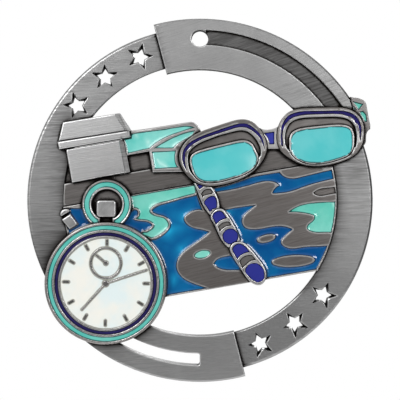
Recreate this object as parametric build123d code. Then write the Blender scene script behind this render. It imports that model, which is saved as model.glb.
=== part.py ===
from build123d import *
from math import cos, radians, sin, tan
import os

# A die-cast swimming medal in relief: a rim that carries two raised bands, and across its
# middle a pool with two starting blocks, a lane rope, goggles and a stopwatch.
# All sizes are millimetres. Outlines are drawn on the medal's face, x to the right and y up,
# with the rim's centre at (0, 0), and heights are measured forwards from the flat back.
# At the end each piece is stood upright, with the ribbon hole's centre at the origin,
# the back in the plane Y = 0 and the face towards -Y.

# Rim and bands
RIM_OUTER = 33.4
RIM_INNER = 26.4
TOP_BAND_INNER = 25.25
BOTTOM_BAND_INNER = 26.1
BAND_OUTER = 35.0
TOP_BAND_ANGLES = (26.0, 104.8)
BOTTOM_BAND_ANGLES = (215.0, 284.5)
RIM_HEIGHT = 2.2
RIM_ROUND = 0.6
BAND_HEIGHT = 3.0
BAND_BEVEL = 0.35

# Ribbon hole, the groove that runs out of it and the slot through the lower band
HOLE_PITCH = 31.2
HOLE_R = 1.6
GROOVE = (30.0, 32.8)
GROOVE_ANGLES = (20.0, 88.0)
GROOVE_FLOOR = 2.2
SLOT = (29.5, 31.75)
SLOT_ANGLES = (222.0, 269.9)
SLOT_CORNER = 0.4

# Star cut-outs, wider at the face than at the back
STAR_PITCH = 30.1
STAR_ANGLES = (112.8, 127.6, 142.4)
STAR_FACE = (2.5, 1.05)
STAR_BACK = (1.65, 0.95)

# Pool, drawn on a slope: heights of its lines where they cross the middle
TILT = 9.8
BOTTOM_LINE = -17.5
WATER_LINE = 3.3
DECK_LINE = 7.7
POOL_EDGE = 0.3
POOL_HEIGHT = 2.7
POOL_FLOOR = 2.2
DECK_HEIGHT = 2.3
RECESS_HEIGHT = 1.6
LEAF_DEPTH = 0.25

# Heights of the relief
FAR_BLOCK_HEIGHT = 3.1
FAR_BLOCK_FLOOR = 2.6
PEDESTAL_HEIGHT = 3.5
PLATE_HEIGHT = 3.5
LIP_HEIGHT = 3.8
FACET_DROP = 0.6
PLATE_FACET = 0.9
PEDESTAL_FACET = 0.8
ROPE_HEIGHT = 3.4
ROPE_FLOOR = 2.9
GOGGLE_HEIGHT = 4.0
GOGGLE_BAND_FLOOR = 3.5
GOGGLE_RECESS = 2.8
LENS_RIM = 0.36
LENS_RIM_HEIGHT = 3.6
LENS_FLOOR = 3.0
GOGGLE_ROUND = 0.2
BRIDGE_HEIGHT = 3.7
STRAP_HEIGHT = 3.3
ENAMEL_CELL = 0.5
ENAMEL_SINK = 0.1

# Stopwatch
WATCH = (-18.1, -15.95)
CASE_R = 11.75
CASE_ROUND = 0.35
BEZEL = (10.25, 11.2)
TRACK = (9.1, 9.85)
DIAL_R = 8.75
WATCH_HEIGHT = 4.2
DIAL_FLOOR = 3.6
TICKS_AT = (0.1, 0.15)
TICKS_TURN = -1.2
TICK_LENGTH = 0.9
TICK_WIDTH = 0.42
TICK_PITCH = 7.7
SUBDIAL = (0.05, 3.9)
SUBDIAL_RING = (2.7, 3.1)
HUB_R = 0.6
SUB_HUB_R = 0.42
HAND_WIDTH = 0.34
LONG_HAND = (7.8, 2.55)
SHORT_HAND = (-4.55, -5.0)
SUB_HAND = (-1.95, 1.6)
BOW = (-17.9, -0.8)
BOW_R = 4.77
BOW_CELL = (3.3, 4.4)
BOW_BORE = 2.95
BOW_FLAT = -2.5
BOW_HEIGHT = 3.9
NECK_HALF = 1.2
CROWN_SIZE = (3.8, 3.25)
CROWN_CENTRE = (-18.0, -1.6)
CROWN_CORNER = 0.6
CROWN_ROUND = 0.35
PUSHER_HEIGHT = 3.4
OVER = 1.0


def straight(points):
    """A face with straight sides."""
    return make_face(Polyline(points, close=True))


def rounded(points):
    """A face with one smooth closed side."""
    return make_face(Spline(points, periodic=True))


def outline(*runs):
    """A face whose side goes run by run: one point ends a line, several make a curve."""
    edges, here = [], runs[-1][-1]
    for run in runs:
        points = [here, *run]
        edges.append(Line(*points) if len(points) == 2 else Spline(*points))
        here = run[-1]
    return make_face(edges)


def disc(radius, centre=(0, 0)):
    """A round face."""
    return Pos(*centre) * Circle(radius)


def ring(radii, centre=(0, 0)):
    """A flat ring between two radii."""
    return disc(max(radii), centre) - disc(min(radii), centre)


def polar(radius, angle):
    """A point at an angle in degrees."""
    return radius * cos(radians(angle)), radius * sin(radians(angle))


def sector(radii, angles):
    """The part of a ring round the medal's centre between two angles."""
    steps = 4
    span = (angles[1] - angles[0]) / steps
    fan = [polar(3 * BAND_OUTER, angles[0] + span * i) for i in range(steps + 1)]
    return ring(radii) & straight([(0, 0), *fan])


def sloping_strip(low, high):
    """A strip along the pool's slope, between two heights at the middle."""
    reach = 1.5 * BAND_OUTER
    rise = reach * tan(radians(TILT))
    return straight([(-reach, low - rise), (reach, low + rise), (reach, high + rise), (-reach, high - rise)])


def bar(start, end, width):
    """A straight stroke with round ends."""
    line = Line(start, end)
    middle = line @ 0.5
    stroke = Rot(0, 0, line.tangent_angle_at(0)) * SlotCenterToCenter(line.length, width)
    return Pos(middle.X, middle.Y) * stroke


def grown(points, margin):
    """A ring of points moved outwards, each square to the line between its neighbours."""
    moved = []
    for i, (x, y) in enumerate(points):
        before, after = points[i - 1], points[(i + 1) % len(points)]
        along = Vector(after[0] - before[0], after[1] - before[1]).normalized()
        moved.append((x - along.Y * margin, y + along.X * margin))
    return moved


def slab(face, top, bottom=0.0):
    """A face made solid between two heights above the back."""
    return extrude(Pos(0, 0, bottom) * face, amount=top - bottom)


def parted(body, *names):
    """The body's separate solids by name, from left to right."""
    return dict(zip(names, body.solids().sort_by(Axis.X), strict=True))


def sunk(body, face, floor=0.0):
    """The body with a cell sunk into its face, down to a floor, or right through."""
    return body - slab(face, WATCH_HEIGHT + OVER, floor)


def outer_edge(body):
    """The body's longest front edge."""
    return body.edges().group_by(Axis.Z)[-1].sort_by(SortBy.LENGTH)[-1]


def softened(body, radius):
    """The body with its longest front edge rounded."""
    return fillet(outer_edge(body), radius)


def bevelled_band(radii, angles):
    """A raised band, bevelled round its outer edge."""
    body = slab(sector(radii, angles), BAND_HEIGHT)
    return chamfer(outer_edge(body), BAND_BEVEL)


# ---------------------------------------------------------------- outlines of the relief

def left_goggle_outline():
    return rounded([(-4.0, 8.4), (-3.55, 10.1), (-2.4, 11.6), (-0.6, 12.85), (1.9, 13.85), (5.4, 15.0),
                    (7.9, 15.55), (9.6, 15.3), (11.2, 14.1), (12.4, 12.2), (12.9, 10.3), (12.4, 8.3),
                    (10.8, 6.1), (8.3, 4.3), (4.8, 3.1), (1.7, 2.75), (-0.7, 3.4), (-2.65, 5.0), (-3.7, 6.8)])


def right_goggle_outline():
    return rounded([(14.8, 12.0), (14.95, 13.6), (15.6, 15.35), (16.8, 16.8), (18.6, 17.5), (21.6, 17.75),
                    (26.0, 17.85), (28.3, 17.6), (30.0, 16.75), (31.15, 15.3), (31.55, 13.6), (31.5, 11.9),
                    (30.95, 10.2), (29.6, 8.65), (27.7, 7.65), (25.0, 6.85), (22.1, 6.55), (19.8, 6.85),
                    (17.5, 7.9), (15.7, 9.3), (15.0, 10.6)])


def left_lens_points():
    return [(-1.65, 7.8), (-1.3, 8.5), (-0.5, 9.05), (0.7, 9.45), (2.9, 10.05), (5.8, 10.75), (7.7, 11.15),
                    (8.95, 11.1), (9.75, 10.6), (10.4, 9.5), (10.95, 8.0), (10.65, 6.9), (9.6, 5.85), (8.1, 5.05),
                    (5.8, 4.3), (3.9, 3.8), (1.9, 3.6), (0.6, 3.75), (-0.4, 4.3), (-1.1, 5.3), (-1.5, 6.5)]


def right_lens_points():
    return [(17.5, 11.0), (17.55, 12.0), (18.0, 12.8), (19.0, 13.35), (20.8, 13.7), (23.1, 13.95),
                    (26.0, 14.2), (27.6, 14.15), (28.7, 13.75), (29.2, 12.9), (29.3, 11.4), (29.2, 9.9),
                    (28.6, 8.95), (27.1, 8.2), (25.0, 7.55), (22.7, 7.2), (20.6, 7.3), (19.1, 7.85),
                    (17.9, 8.8), (17.5, 9.8)]


def left_goggle_band():
    """The crescent that runs over the left frame, open at its lower side."""
    return outline([(-3.3, 7.2), (-3.45, 8.7), (-3.0, 10.0), (-1.9, 11.15), (0.0, 12.2), (2.3, 13.1), (5.4, 14.15),
                    (7.7, 14.75), (9.1, 14.65), (10.4, 13.85), (11.6, 12.6), (12.25, 11.0), (12.4, 9.7)],
                   [(12.0, 10.9), (11.2, 12.3), (10.1, 13.25), (8.9, 13.9), (7.7, 14.0), (5.4, 13.4), (2.3, 12.4),
                    (0.0, 11.5), (-1.5, 10.55), (-2.5, 9.45), (-2.85, 8.3), (-2.75, 6.8), (-2.5, 5.6)])


def right_goggle_band():
    """The crescent that runs over the right frame, open at its lower side."""
    return outline([(15.6, 10.6), (15.4, 12.0), (15.5, 13.5), (15.95, 14.95), (16.85, 16.15), (18.3, 16.85),
                    (21.2, 17.15), (25.0, 17.2), (27.7, 17.15), (29.3, 16.6), (30.35, 15.65), (30.9, 14.3),
                    (31.0, 12.8), (30.8, 11.4)],
                   [(30.5, 12.8), (30.25, 14.1), (29.65, 15.15), (28.7, 15.95), (27.5, 16.4), (25.0, 16.55),
                    (21.6, 16.45), (18.8, 16.15), (17.35, 15.55), (16.45, 14.6), (16.0, 13.5), (15.9, 12.0),
                    (15.95, 10.2)])


def left_goggle_recess():
    """The shade between the left frame and its lens, up to where the two meet."""
    return outline([(-2.0, 5.9), (-2.3, 7.6), (-2.15, 9.1), (-1.3, 10.2), (0.0, 11.05), (1.9, 11.85), (3.9, 12.55),
                    (5.8, 13.05), (7.7, 13.45), (8.9, 13.3), (10.0, 12.6), (11.0, 11.4), (11.6, 10.0),
                    (11.65, 8.6)],
                   [(10.9, 7.6)], [(2.0, 5.0)], [(-0.8, 4.4)])


def right_goggle_recess():
    """The shade between the right frame and its lens, up to where the two meet."""
    return outline([(16.45, 10.6), (16.35, 12.4), (16.65, 13.8), (17.4, 14.95), (18.8, 15.65), (21.6, 15.95),
                    (25.4, 16.05), (27.4, 15.9), (28.8, 15.35), (29.6, 14.5), (30.0, 13.3), (30.1, 11.6),
                    (29.9, 10.3)],
                   [(28.5, 9.5)], [(19.5, 9.0)], [(17.4, 9.3)])


def bridge_outline():
    return outline([(12.5, 13.6), (13.8, 13.7), (15.6, 14.6)], [(15.8, 9.9)], [(11.6, 9.9)], [(11.0, 14.2)])


def bridge_cell():
    return straight([(12.2, 12.95), (14.3, 13.2), (14.3, 10.75), (13.35, 10.75), (12.9, 12.0)])


def strap_outline():
    return outline([(30.0, 19.75), (31.0, 19.5), (31.8, 18.9), (32.1, 17.9), (32.45, 15.9), (32.75, 14.6)],
                   [(32.75, 13.7)], [(32.1, 13.0), (31.95, 12.0), (31.9, 11.2), (31.2, 10.4)],
                   [(30.5, 11.0)], [(29.8, 16.6)], [(29.35, 18.0), (29.15, 19.0), (28.9, 19.9)])


def strap_cells():
    return [straight([(29.35, 19.05), (31.4, 18.5), (30.5, 17.35)]),
            straight([(29.4, 18.25), (30.05, 17.4), (29.55, 17.5)]),
            straight([(30.6, 17.0), (31.35, 17.2), (31.95, 16.5), (32.15, 15.1), (31.6, 15.1)])]


def near_plate_outline():
    return straight([(-26.35, 15.0), (-15.4, 16.8), (-13.15, 13.4), (-27.2, 11.3)])


def near_lip_outline():
    return straight([(-27.35, 11.2), (-13.6, 13.4), (-13.3, 12.15), (-27.05, 9.8)])


def pedestal_outline():
    return straight([(-25.75, 9.8), (-14.7, 11.7), (-13.5, 5.45), (-24.6, 3.4)])


def far_block_outline():
    return outline([(-9.6, 13.9), (-5.8, 14.5), (-1.9, 15.1)], [(-0.8, 14.8), (-0.2, 14.1), (0.2, 13.2)],
                   [(0.5, 9.0)], [(-2.4, 5.5)], [(-9.1, 5.4)], [(-9.8, 9.4)], [(-15.0, 8.5)], [(-15.0, 13.2)])


def far_block_cells():
    """Top plate, the wedge under it and the post."""
    top = outline([(-11.6, 13.1), (-7.7, 13.6), (-3.9, 14.2), (-1.9, 14.3), (-1.0, 14.0)],
                  [(-2.3, 13.6), (-4.2, 13.0), (-6.2, 12.25), (-8.1, 11.25), (-9.6, 10.0)],
                  [(-13.9, 9.0)], [(-14.6, 11.7)], [(-13.3, 12.0)], [(-13.2, 12.8)])
    wedge = outline([(-7.7, 10.8), (-5.8, 11.85), (-3.7, 12.75), (-1.0, 13.45)],
                    [(-1.3, 12.75), (-2.8, 11.7), (-4.3, 10.8), (-5.1, 10.0)], [(-8.9, 10.0)])
    post = outline([(-4.6, 9.6)], [(-4.8, 8.1), (-4.6, 7.0), (-4.1, 6.3)], [(-8.8, 6.0)], [(-9.3, 9.35)])
    return top, wedge, post


def rope_outlines():
    """The three floats of the lane rope, from the goggles down; each laps over the one before."""
    first = outline([(-0.1, 0.6), (0.95, -1.6), (2.0, -2.8)], [(3.8, -1.8)], [(3.55, 0.2), (2.25, 2.65), (1.3, 3.9)],
                    [(-1.2, 3.3)])
    second = outline([(2.1, -2.8), (2.6, -2.1), (3.4, -1.6), (4.2, -1.6), (4.9, -2.1)],
                     [(6.0, -3.7), (7.05, -5.6), (7.6, -6.9)], [(8.0, -9.0)], [(5.4, -9.0)],
                     [(4.4, -8.0), (3.3, -5.9), (2.1, -3.6)])
    third = rounded([(5.8, -9.8), (5.8, -8.9), (6.4, -8.2), (7.4, -7.9), (8.4, -8.1), (9.3, -8.8), (11.0, -10.8),
                     (12.3, -12.6), (12.8, -14.0), (12.6, -15.3), (11.6, -16.3), (10.4, -16.15), (9.2, -15.2),
                     (7.7, -13.0)])
    return [first, second, third]


def rope_cells():
    """For each float, its dark blue cells and its bare ones."""
    first = ([rounded([(0.8, -0.2), (1.3, 0.4), (2.0, 0.8), (2.8, 0.8), (3.25, 0.0), (3.3, -0.9), (3.1, -1.6),
                       (2.5, -1.75), (2.0, -2.2), (1.4, -1.55)]),
              straight([(-0.75, 3.1), (0.8, 3.05), (0.75, 2.7), (-0.1, 2.05)])],
             [outline([(0.75, 1.95), (2.0, 2.2)], [(2.45, 1.35), (1.4, 1.05), (0.5, 0.45)], [(0.2, 1.2)])])
    second = ([outline([(2.6, -2.5), (3.3, -2.05), (4.1, -2.05), (4.7, -2.6), (5.25, -3.45)],
                       [(4.3, -3.75), (3.6, -4.2), (3.1, -4.8)], [(2.4, -3.4)]),
               disc(1.55, (5.85, -6.95))],
              [outline([(3.9, -4.6), (4.7, -4.15), (5.65, -4.1)], [(6.1, -4.85)],
                       [(5.2, -5.0), (4.3, -5.5), (3.8, -6.1)], [(3.45, -5.1)])])
    third = ([outline([(6.3, -9.0), (6.8, -8.5), (7.6, -8.3), (8.4, -8.6), (9.1, -9.25), (9.65, -10.0)],
                      [(8.6, -10.2), (7.8, -10.65), (7.2, -11.4)], [(6.2, -9.75)]),
              rounded([(8.65, -13.4), (9.15, -12.55), (10.0, -12.1), (11.1, -12.15), (11.95, -12.85),
                       (12.4, -13.9), (12.35, -15.0), (11.6, -15.7), (10.75, -15.7), (9.8, -15.1), (9.05, -14.3)])],
             [outline([(8.0, -11.1), (8.9, -10.6), (10.0, -10.5)], [(10.85, -11.5)],
                      [(9.8, -11.7), (9.0, -12.3), (8.15, -13.1)], [(7.6, -11.9)])])
    return [first, second, third]


def pusher_outlines():
    """The side button's stem and its domed cap."""
    stem = straight([(-26.6, -3.7), (-24.95, -2.6), (-23.45, -4.6), (-25.05, -5.6)])
    cap = outline([(-26.9, -2.7), (-26.7, -2.1), (-26.1, -1.7), (-25.4, -1.7), (-25.0, -2.1)], [(-26.7, -3.1)])
    return stem, cap


def water_cells():
    """Name and outline of each enamel cell of the water, before the pool's edge trims it."""
    top_strip = outline([(1.0, 2.2)], [(4.8, 2.8), (7.7, 3.7), (9.6, 4.4), (12.1, 4.95), (15.4, 5.45)],
                        [(16.2, 4.65), (17.5, 4.25), (19.8, 4.6), (22.7, 5.3), (27.0, 6.1)], [(27.0, 4.3)],
                        [(22.7, 3.4), (19.8, 2.5), (17.3, 1.65), (15.4, 1.35), (13.9, 1.3)],
                        [(14.2, 2.0), (15.2, 2.9)],
                        [(14.2, 3.5), (12.7, 3.65), (10.6, 3.2), (7.7, 2.4), (5.4, 1.9), (1.0, 1.5)])
    right = outline([(8.1, -1.2), (10.8, -0.9)],
                    [(9.2, -2.3), (8.2, -3.7), (8.5, -5.0), (10.0, -5.55), (13.5, -5.1), (16.0, -4.95), (17.9, -5.6)],
                    [(16.3, -7.1), (15.7, -8.2), (16.6, -9.0), (19.8, -9.0), (23.1, -8.8), (27.0, -8.6)],
                    [(27.0, -20.0)], [(10.5, -20.0)], [(10.5, -15.0)], [(4.0, -2.0)])
    islands = (Pos(12.8, -7.35) * Rot(0, 0, 14) * Ellipse(1.8, 0.7)
               + Pos(18.0, -11.7) * Rot(0, 0, 3.5) * Ellipse(4.1, 1.1))
    right_shallows = outline([(27.0, -0.2)], [(24.1, -0.3), (21.4, -0.5), (18.9, -1.1), (17.0, -2.3)],
                             [(19.6, -2.4), (21.9, -2.9)],
                             [(21.85, -3.8), (20.9, -4.6), (20.6, -5.4), (21.4, -6.0), (23.1, -6.25), (25.5, -6.3)],
                             [(27.0, -6.3)])
    left_shallows = outline([(-13.2, 2.0)], [(-0.9, 4.2)], [(-0.8, 1.3)],
                            [(-3.5, 0.6), (-6.7, -0.3), (-8.9, -1.1), (-9.6, -2.1), (-8.6, -2.9), (-6.7, -3.5),
                             (-6.0, -4.7), (-6.7, -5.9), (-9.4, -7.3)],
                            [(-11.5, -6.5)], [(-10.8, -6.05)],
                            [(-9.5, -5.65), (-8.95, -4.8), (-9.6, -4.1), (-11.4, -3.75), (-12.55, -3.5)],
                            [(-11.7, -2.7), (-11.75, -2.0), (-12.8, -1.5)], [(-13.2, -0.5), (-13.4, 0.8)])
    inlet = outline([(-11.95, -2.15), (-11.9, -2.6), (-12.75, -3.65)],
                    [(-11.4, -3.95), (-9.7, -4.3), (-9.2, -4.8), (-9.6, -5.4), (-10.8, -5.85)],
                    [(-11.6, -6.4)], [(-15.0, -4.6)], [(-13.6, -2.4)], [(-12.75, -1.75)])
    left = outline([(-6.4, -6.0), (-5.75, -4.7), (-6.5, -3.35), (-8.4, -2.7), (-9.3, -2.05), (-8.7, -1.35), (-6.6, -0.55),
                    (-3.5, 0.35), (-0.6, 1.05)],
                   [(0.5, -2.0)], [(-1.9, -2.35), (-3.0, -3.6), (-2.1, -4.85), (0.0, -5.55), (1.9, -6.1)],
                   [(0.0, -7.7), (-2.3, -9.3), (-4.1, -11.2), (-4.5, -12.7), (-3.7, -14.5), (-1.5, -15.9), (1.6, -17.0)],
                   [(1.6, -19.0)], [(-9.0, -21.0)], [(-12.0, -10.0)], [(-9.2, -7.55)])
    spot = Pos(0.45, -10.4) * Rot(0, 0, 12) * Ellipse(1.6, 0.8)
    leaf = outline([(3.1, -11.5), (4.3, -10.9), (6.0, -10.6)], [(8.5, -13.5)],
                   [(5.6, -13.5), (3.6, -13.1), (2.6, -12.3)])
    corner = straight([(-25.1, -1.5), (-22.4, -1.5), (-18.0, -6.0), (-26.0, -8.0), (-26.0, -5.0)])
    return {"water_top_strip": top_strip, "water_right": right - islands, "water_right_shallows": right_shallows,
            "water_left_shallows": left_shallows, "water_inlet": inlet, "water_left": left, "water_spot": spot,
            "water_leaf": leaf, "water_corner": corner}


def bare_leaf():
    """A leaf-shaped cell of the water that holds no enamel."""
    return outline([(22.6, 2.0), (24.3, 2.4), (26.0, 2.6)], [(26.2, 1.3)], [(24.4, 1.0), (22.7, 0.9), (21.8, 1.4)])


# ------------------------------------------------------------------------------- pieces

def star_cut(angle):
    """A tapering five-pointed hole, one point towards the medal's centre."""
    def star(radii, height):
        corners = [polar(radii[i % 2], 180 + angle + 36 * i) for i in range(10)]
        return Pos(*polar(STAR_PITCH, angle), height) * straight(corners)
    return loft([star(STAR_BACK, 0), star(STAR_FACE, RIM_HEIGHT)], ruled=True)


def rim(angles, star_turn, relief):
    """One side of the rim, with its three stars."""
    body = sunk(softened(slab(sector((RIM_INNER, RIM_OUTER), angles), RIM_HEIGHT), RIM_ROUND), relief)
    for angle in STAR_ANGLES:
        body -= star_cut(angle + star_turn)
    return body


def top_band(relief):
    """The upper raised band, with the ribbon hole and the groove that runs from it."""
    body = sunk(bevelled_band((TOP_BAND_INNER, BAND_OUTER), TOP_BAND_ANGLES), relief)
    body = sunk(body, disc(HOLE_R, (0, HOLE_PITCH)))
    return sunk(body, sector(GROOVE, GROOVE_ANGLES), GROOVE_FLOOR)


def bottom_band(relief):
    """The lower raised band, with the slot through it."""
    slot = sector(SLOT, SLOT_ANGLES)
    slot = fillet(slot.vertices().sort_by(Axis.X)[-2:], SLOT_CORNER)
    return sunk(sunk(bevelled_band((BOTTOM_BAND_INNER, BAND_OUTER), BOTTOM_BAND_ANGLES), slot), relief)


def pool(relief):
    """The pool's metal with its cells, and the enamel that fills them."""
    inside = disc(RIM_INNER - POOL_EDGE) & sloping_strip(BOTTOM_LINE + POOL_EDGE, WATER_LINE - POOL_EDGE / 2)
    body = slab((disc(RIM_INNER) & sloping_strip(BOTTOM_LINE, WATER_LINE)) - relief, POOL_HEIGHT)
    pieces = {}
    for name, cell in water_cells().items():
        trimmed = cell & inside
        body = sunk(body, trimmed, POOL_FLOOR)
        pieces[name] = slab(trimmed - relief, POOL_HEIGHT - ENAMEL_SINK, POOL_FLOOR)
    body = sunk(body, bare_leaf(), POOL_HEIGHT - LEAF_DEPTH)
    return pieces | parted(body, "pool_corner", "pool_left", "pool_right")


def deck(relief):
    """The paved strip along the pool."""
    body = slab((disc(RIM_INNER) & sloping_strip(WATER_LINE, DECK_LINE)) - relief, DECK_HEIGHT)
    return parted(body, "pool_deck_left", "pool_deck_right")


def recesses(relief):
    """The low ground between the blocks and beside the near one."""
    between = straight([(-14.2, 4.0), (-8.8, 4.0), (-8.8, 10.0), (-14.2, 10.0)])
    beside = disc(RIM_INNER) & straight([(-27.0, 2.0), (-23.0, 2.0), (-23.0, 9.5), (-27.0, 9.5)])
    body = slab((between + beside) - sloping_strip(WATER_LINE, DECK_LINE) - relief, RECESS_HEIGHT)
    return parted(body, "side_recess", "block_recess")


def faceted(body, near, width):
    """A block cut to a slope along the front edge that lies nearest a point."""
    front = body.faces().sort_by(Axis.Z)[-1]
    side = front.edges().sort_by_distance((*near, body.bounding_box().max.Z))[0]
    return chamfer(side, width, FACET_DROP, reference=front)


def near_block():
    """The starting block in front: pedestal, lip and the plate that the swimmer stands on."""
    plate = near_plate_outline() - near_lip_outline()
    pedestal = pedestal_outline() - near_lip_outline()
    return {"near_block_plate": faceted(slab(plate, PLATE_HEIGHT), (-14.3, 15.1), PLATE_FACET),
            "near_block_lip": slab(near_lip_outline(), LIP_HEIGHT),
            "near_block_pedestal": faceted(slab(pedestal, PEDESTAL_HEIGHT), (-14.1, 8.6), PEDESTAL_FACET)}


def far_block(relief):
    """The starting block behind, with its three enamel cells."""
    body = slab(far_block_outline() - relief, FAR_BLOCK_HEIGHT)
    pieces = {}
    for name, cell in zip(("top", "wedge", "post"), far_block_cells()):
        body = sunk(body, cell, FAR_BLOCK_FLOOR)
        enamel = slab(cell - relief, FAR_BLOCK_HEIGHT - ENAMEL_SINK, FAR_BLOCK_FLOOR)
        pieces[f"far_block_{name}_enamel"] = enamel
    pieces["far_block_body"] = body
    return pieces


def goggle(side, frame, band, recess, lens_points):
    """One eyepiece: its frame, the dark band over it and its lens."""
    lens, lens_rim = rounded(lens_points), rounded(grown(lens_points, LENS_RIM))
    body = softened(slab(frame, GOGGLE_HEIGHT), GOGGLE_ROUND)
    body = sunk(body, recess - lens_rim, GOGGLE_RECESS)
    body = sunk(body, lens_rim, LENS_RIM_HEIGHT)
    body = sunk(sunk(body, lens, LENS_FLOOR), band, GOGGLE_BAND_FLOOR)
    return {f"{side}_goggle_frame": body,
            f"{side}_goggle_band": slab(band, GOGGLE_HEIGHT - ENAMEL_SINK, GOGGLE_BAND_FLOOR),
            f"{side}_goggle_lens": slab(lens, LENS_RIM_HEIGHT - ENAMEL_SINK, LENS_FLOOR)}


def goggle_fittings(goggles):
    """The nose bridge and the strap's end, each with its enamel."""
    bridge = slab(bridge_outline() - goggles, BRIDGE_HEIGHT)
    strap = slab(strap_outline() - goggles, STRAP_HEIGHT)
    bridge_floor, strap_floor = BRIDGE_HEIGHT - ENAMEL_CELL, STRAP_HEIGHT - ENAMEL_CELL
    cells = [cell - goggles for cell in strap_cells()]
    for cell in cells:
        strap = sunk(strap, cell, strap_floor)
    enamel = [slab(cell, STRAP_HEIGHT - ENAMEL_SINK, strap_floor) for cell in cells]
    return {"nose_bridge": sunk(bridge, bridge_cell() - goggles, bridge_floor),
            "nose_bridge_enamel": slab(bridge_cell() - goggles, BRIDGE_HEIGHT - ENAMEL_SINK, bridge_floor),
            "goggle_strap": strap, "goggle_strap_enamel": Compound(children=enamel)}


def lane_rope(goggles):
    """The three floats, each with its enamel."""
    outlines, pieces = rope_outlines(), {}
    for i, (whole, (dark, bare)) in enumerate(zip(outlines, rope_cells()), start=1):
        over = [goggles, *outlines[i:i + 1]]
        face = whole - over
        body, enamel = slab(face, ROPE_HEIGHT), []
        for cell in dark + bare:
            body = sunk(body, cell & face, ROPE_FLOOR)
        for cell in dark:
            enamel.append(slab(cell & face, ROPE_HEIGHT - ENAMEL_SINK, ROPE_FLOOR))
        pieces[f"rope_float_{i}"] = body
        pieces[f"rope_enamel_{i}"] = Compound(children=enamel)
    return pieces


def dial_strokes():
    """Name and outline of what stands up through the dial's enamel."""
    def from_watch(x, y):
        return WATCH[0] + x, WATCH[1] + y

    def tick(turn):
        reach = TICK_LENGTH / 2
        ends = [polar(TICK_PITCH + end, turn) for end in (-reach, reach)]
        return bar(*[from_watch(TICKS_AT[0] + x, TICKS_AT[1] + y) for x, y in ends], TICK_WIDTH)

    centre, small = from_watch(0, 0), from_watch(*SUBDIAL)
    hub = disc(HUB_R, centre)
    circle = ring(SUBDIAL_RING, small) - hub
    sub_hand = bar(small, from_watch(SUBDIAL[0] + SUB_HAND[0], SUBDIAL[1] + SUB_HAND[1]), HAND_WIDTH)
    return {"dial_ticks": [tick(TICKS_TURN + 30 * i) for i in range(12)],
            "subdial_ring": [circle],
            "subdial_hand": [sub_hand + disc(SUB_HUB_R, small) - circle],
            "long_hand": [bar(centre, from_watch(*LONG_HAND), HAND_WIDTH) - hub - circle],
            "short_hand": [bar(centre, from_watch(*SHORT_HAND), HAND_WIDTH) - hub],
            "hand_hub": [hub]}


def stopwatch():
    """The case with its bezel, track and dial, and everything on the dial."""
    case = softened(slab(disc(CASE_R, WATCH), WATCH_HEIGHT), CASE_ROUND)
    dial, floor = disc(DIAL_R, WATCH), WATCH_HEIGHT - ENAMEL_CELL
    case = sunk(sunk(sunk(case, ring(BEZEL, WATCH), floor), ring(TRACK, WATCH), floor), dial, DIAL_FLOOR)
    pieces = {"stopwatch_case": case,
              "bezel_enamel": slab(ring(BEZEL, WATCH), WATCH_HEIGHT - ENAMEL_SINK, floor),
              "track_enamel": slab(ring(TRACK, WATCH), WATCH_HEIGHT - ENAMEL_SINK, floor)}
    for name, strokes in dial_strokes().items():
        pieces[name] = Compound(children=[slab(stroke, WATCH_HEIGHT, DIAL_FLOOR) for stroke in strokes])
        dial = dial - strokes
    inner, outer = slab(dial, WATCH_HEIGHT - ENAMEL_SINK, DIAL_FLOOR).solids().sort_by(SortBy.VOLUME)
    return pieces | {"subdial_enamel": inner, "dial_enamel": outer}


def bow_and_crown():
    """The stopwatch's bow, the crown that stands in it and the crown's neck."""
    lower = BOW[1] + BOW_FLAT
    above = straight([(BOW[0] - BOW_R, lower), (BOW[0] + BOW_R, lower), (BOW[0] + BOW_R, 9.0), (BOW[0] - BOW_R, 9.0)])
    neck = Pos(CROWN_CENTRE[0], lower) * Rectangle(2 * NECK_HALF, 3.0)
    case = disc(CASE_R, WATCH)
    well = (disc(BOW_BORE, BOW) & above) + neck
    cell = ring(BOW_CELL, BOW) - offset(neck, POOL_EDGE)
    crown = Pos(*CROWN_CENTRE) * RectangleRounded(*CROWN_SIZE, CROWN_CORNER)
    crown = slab(crown & well, BOW_HEIGHT, POOL_FLOOR)
    body = sunk(softened(slab(disc(BOW_R, BOW), BOW_HEIGHT), GOGGLE_ROUND), case)
    body = sunk(body, well, POOL_FLOOR)
    return {"bow": sunk(body, cell, BOW_HEIGHT - ENAMEL_CELL),
            "bow_enamel": slab(cell - case, BOW_HEIGHT - ENAMEL_SINK, BOW_HEIGHT - ENAMEL_CELL),
            "crown": fillet(crown.edges().group_by(Axis.Z)[-1], CROWN_ROUND)}


def pusher():
    """The side button."""
    stem, cap = pusher_outlines()
    return {"pusher_stem": slab(stem, PUSHER_HEIGHT), "pusher_cap": slab(cap, PUSHER_HEIGHT)}


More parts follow.
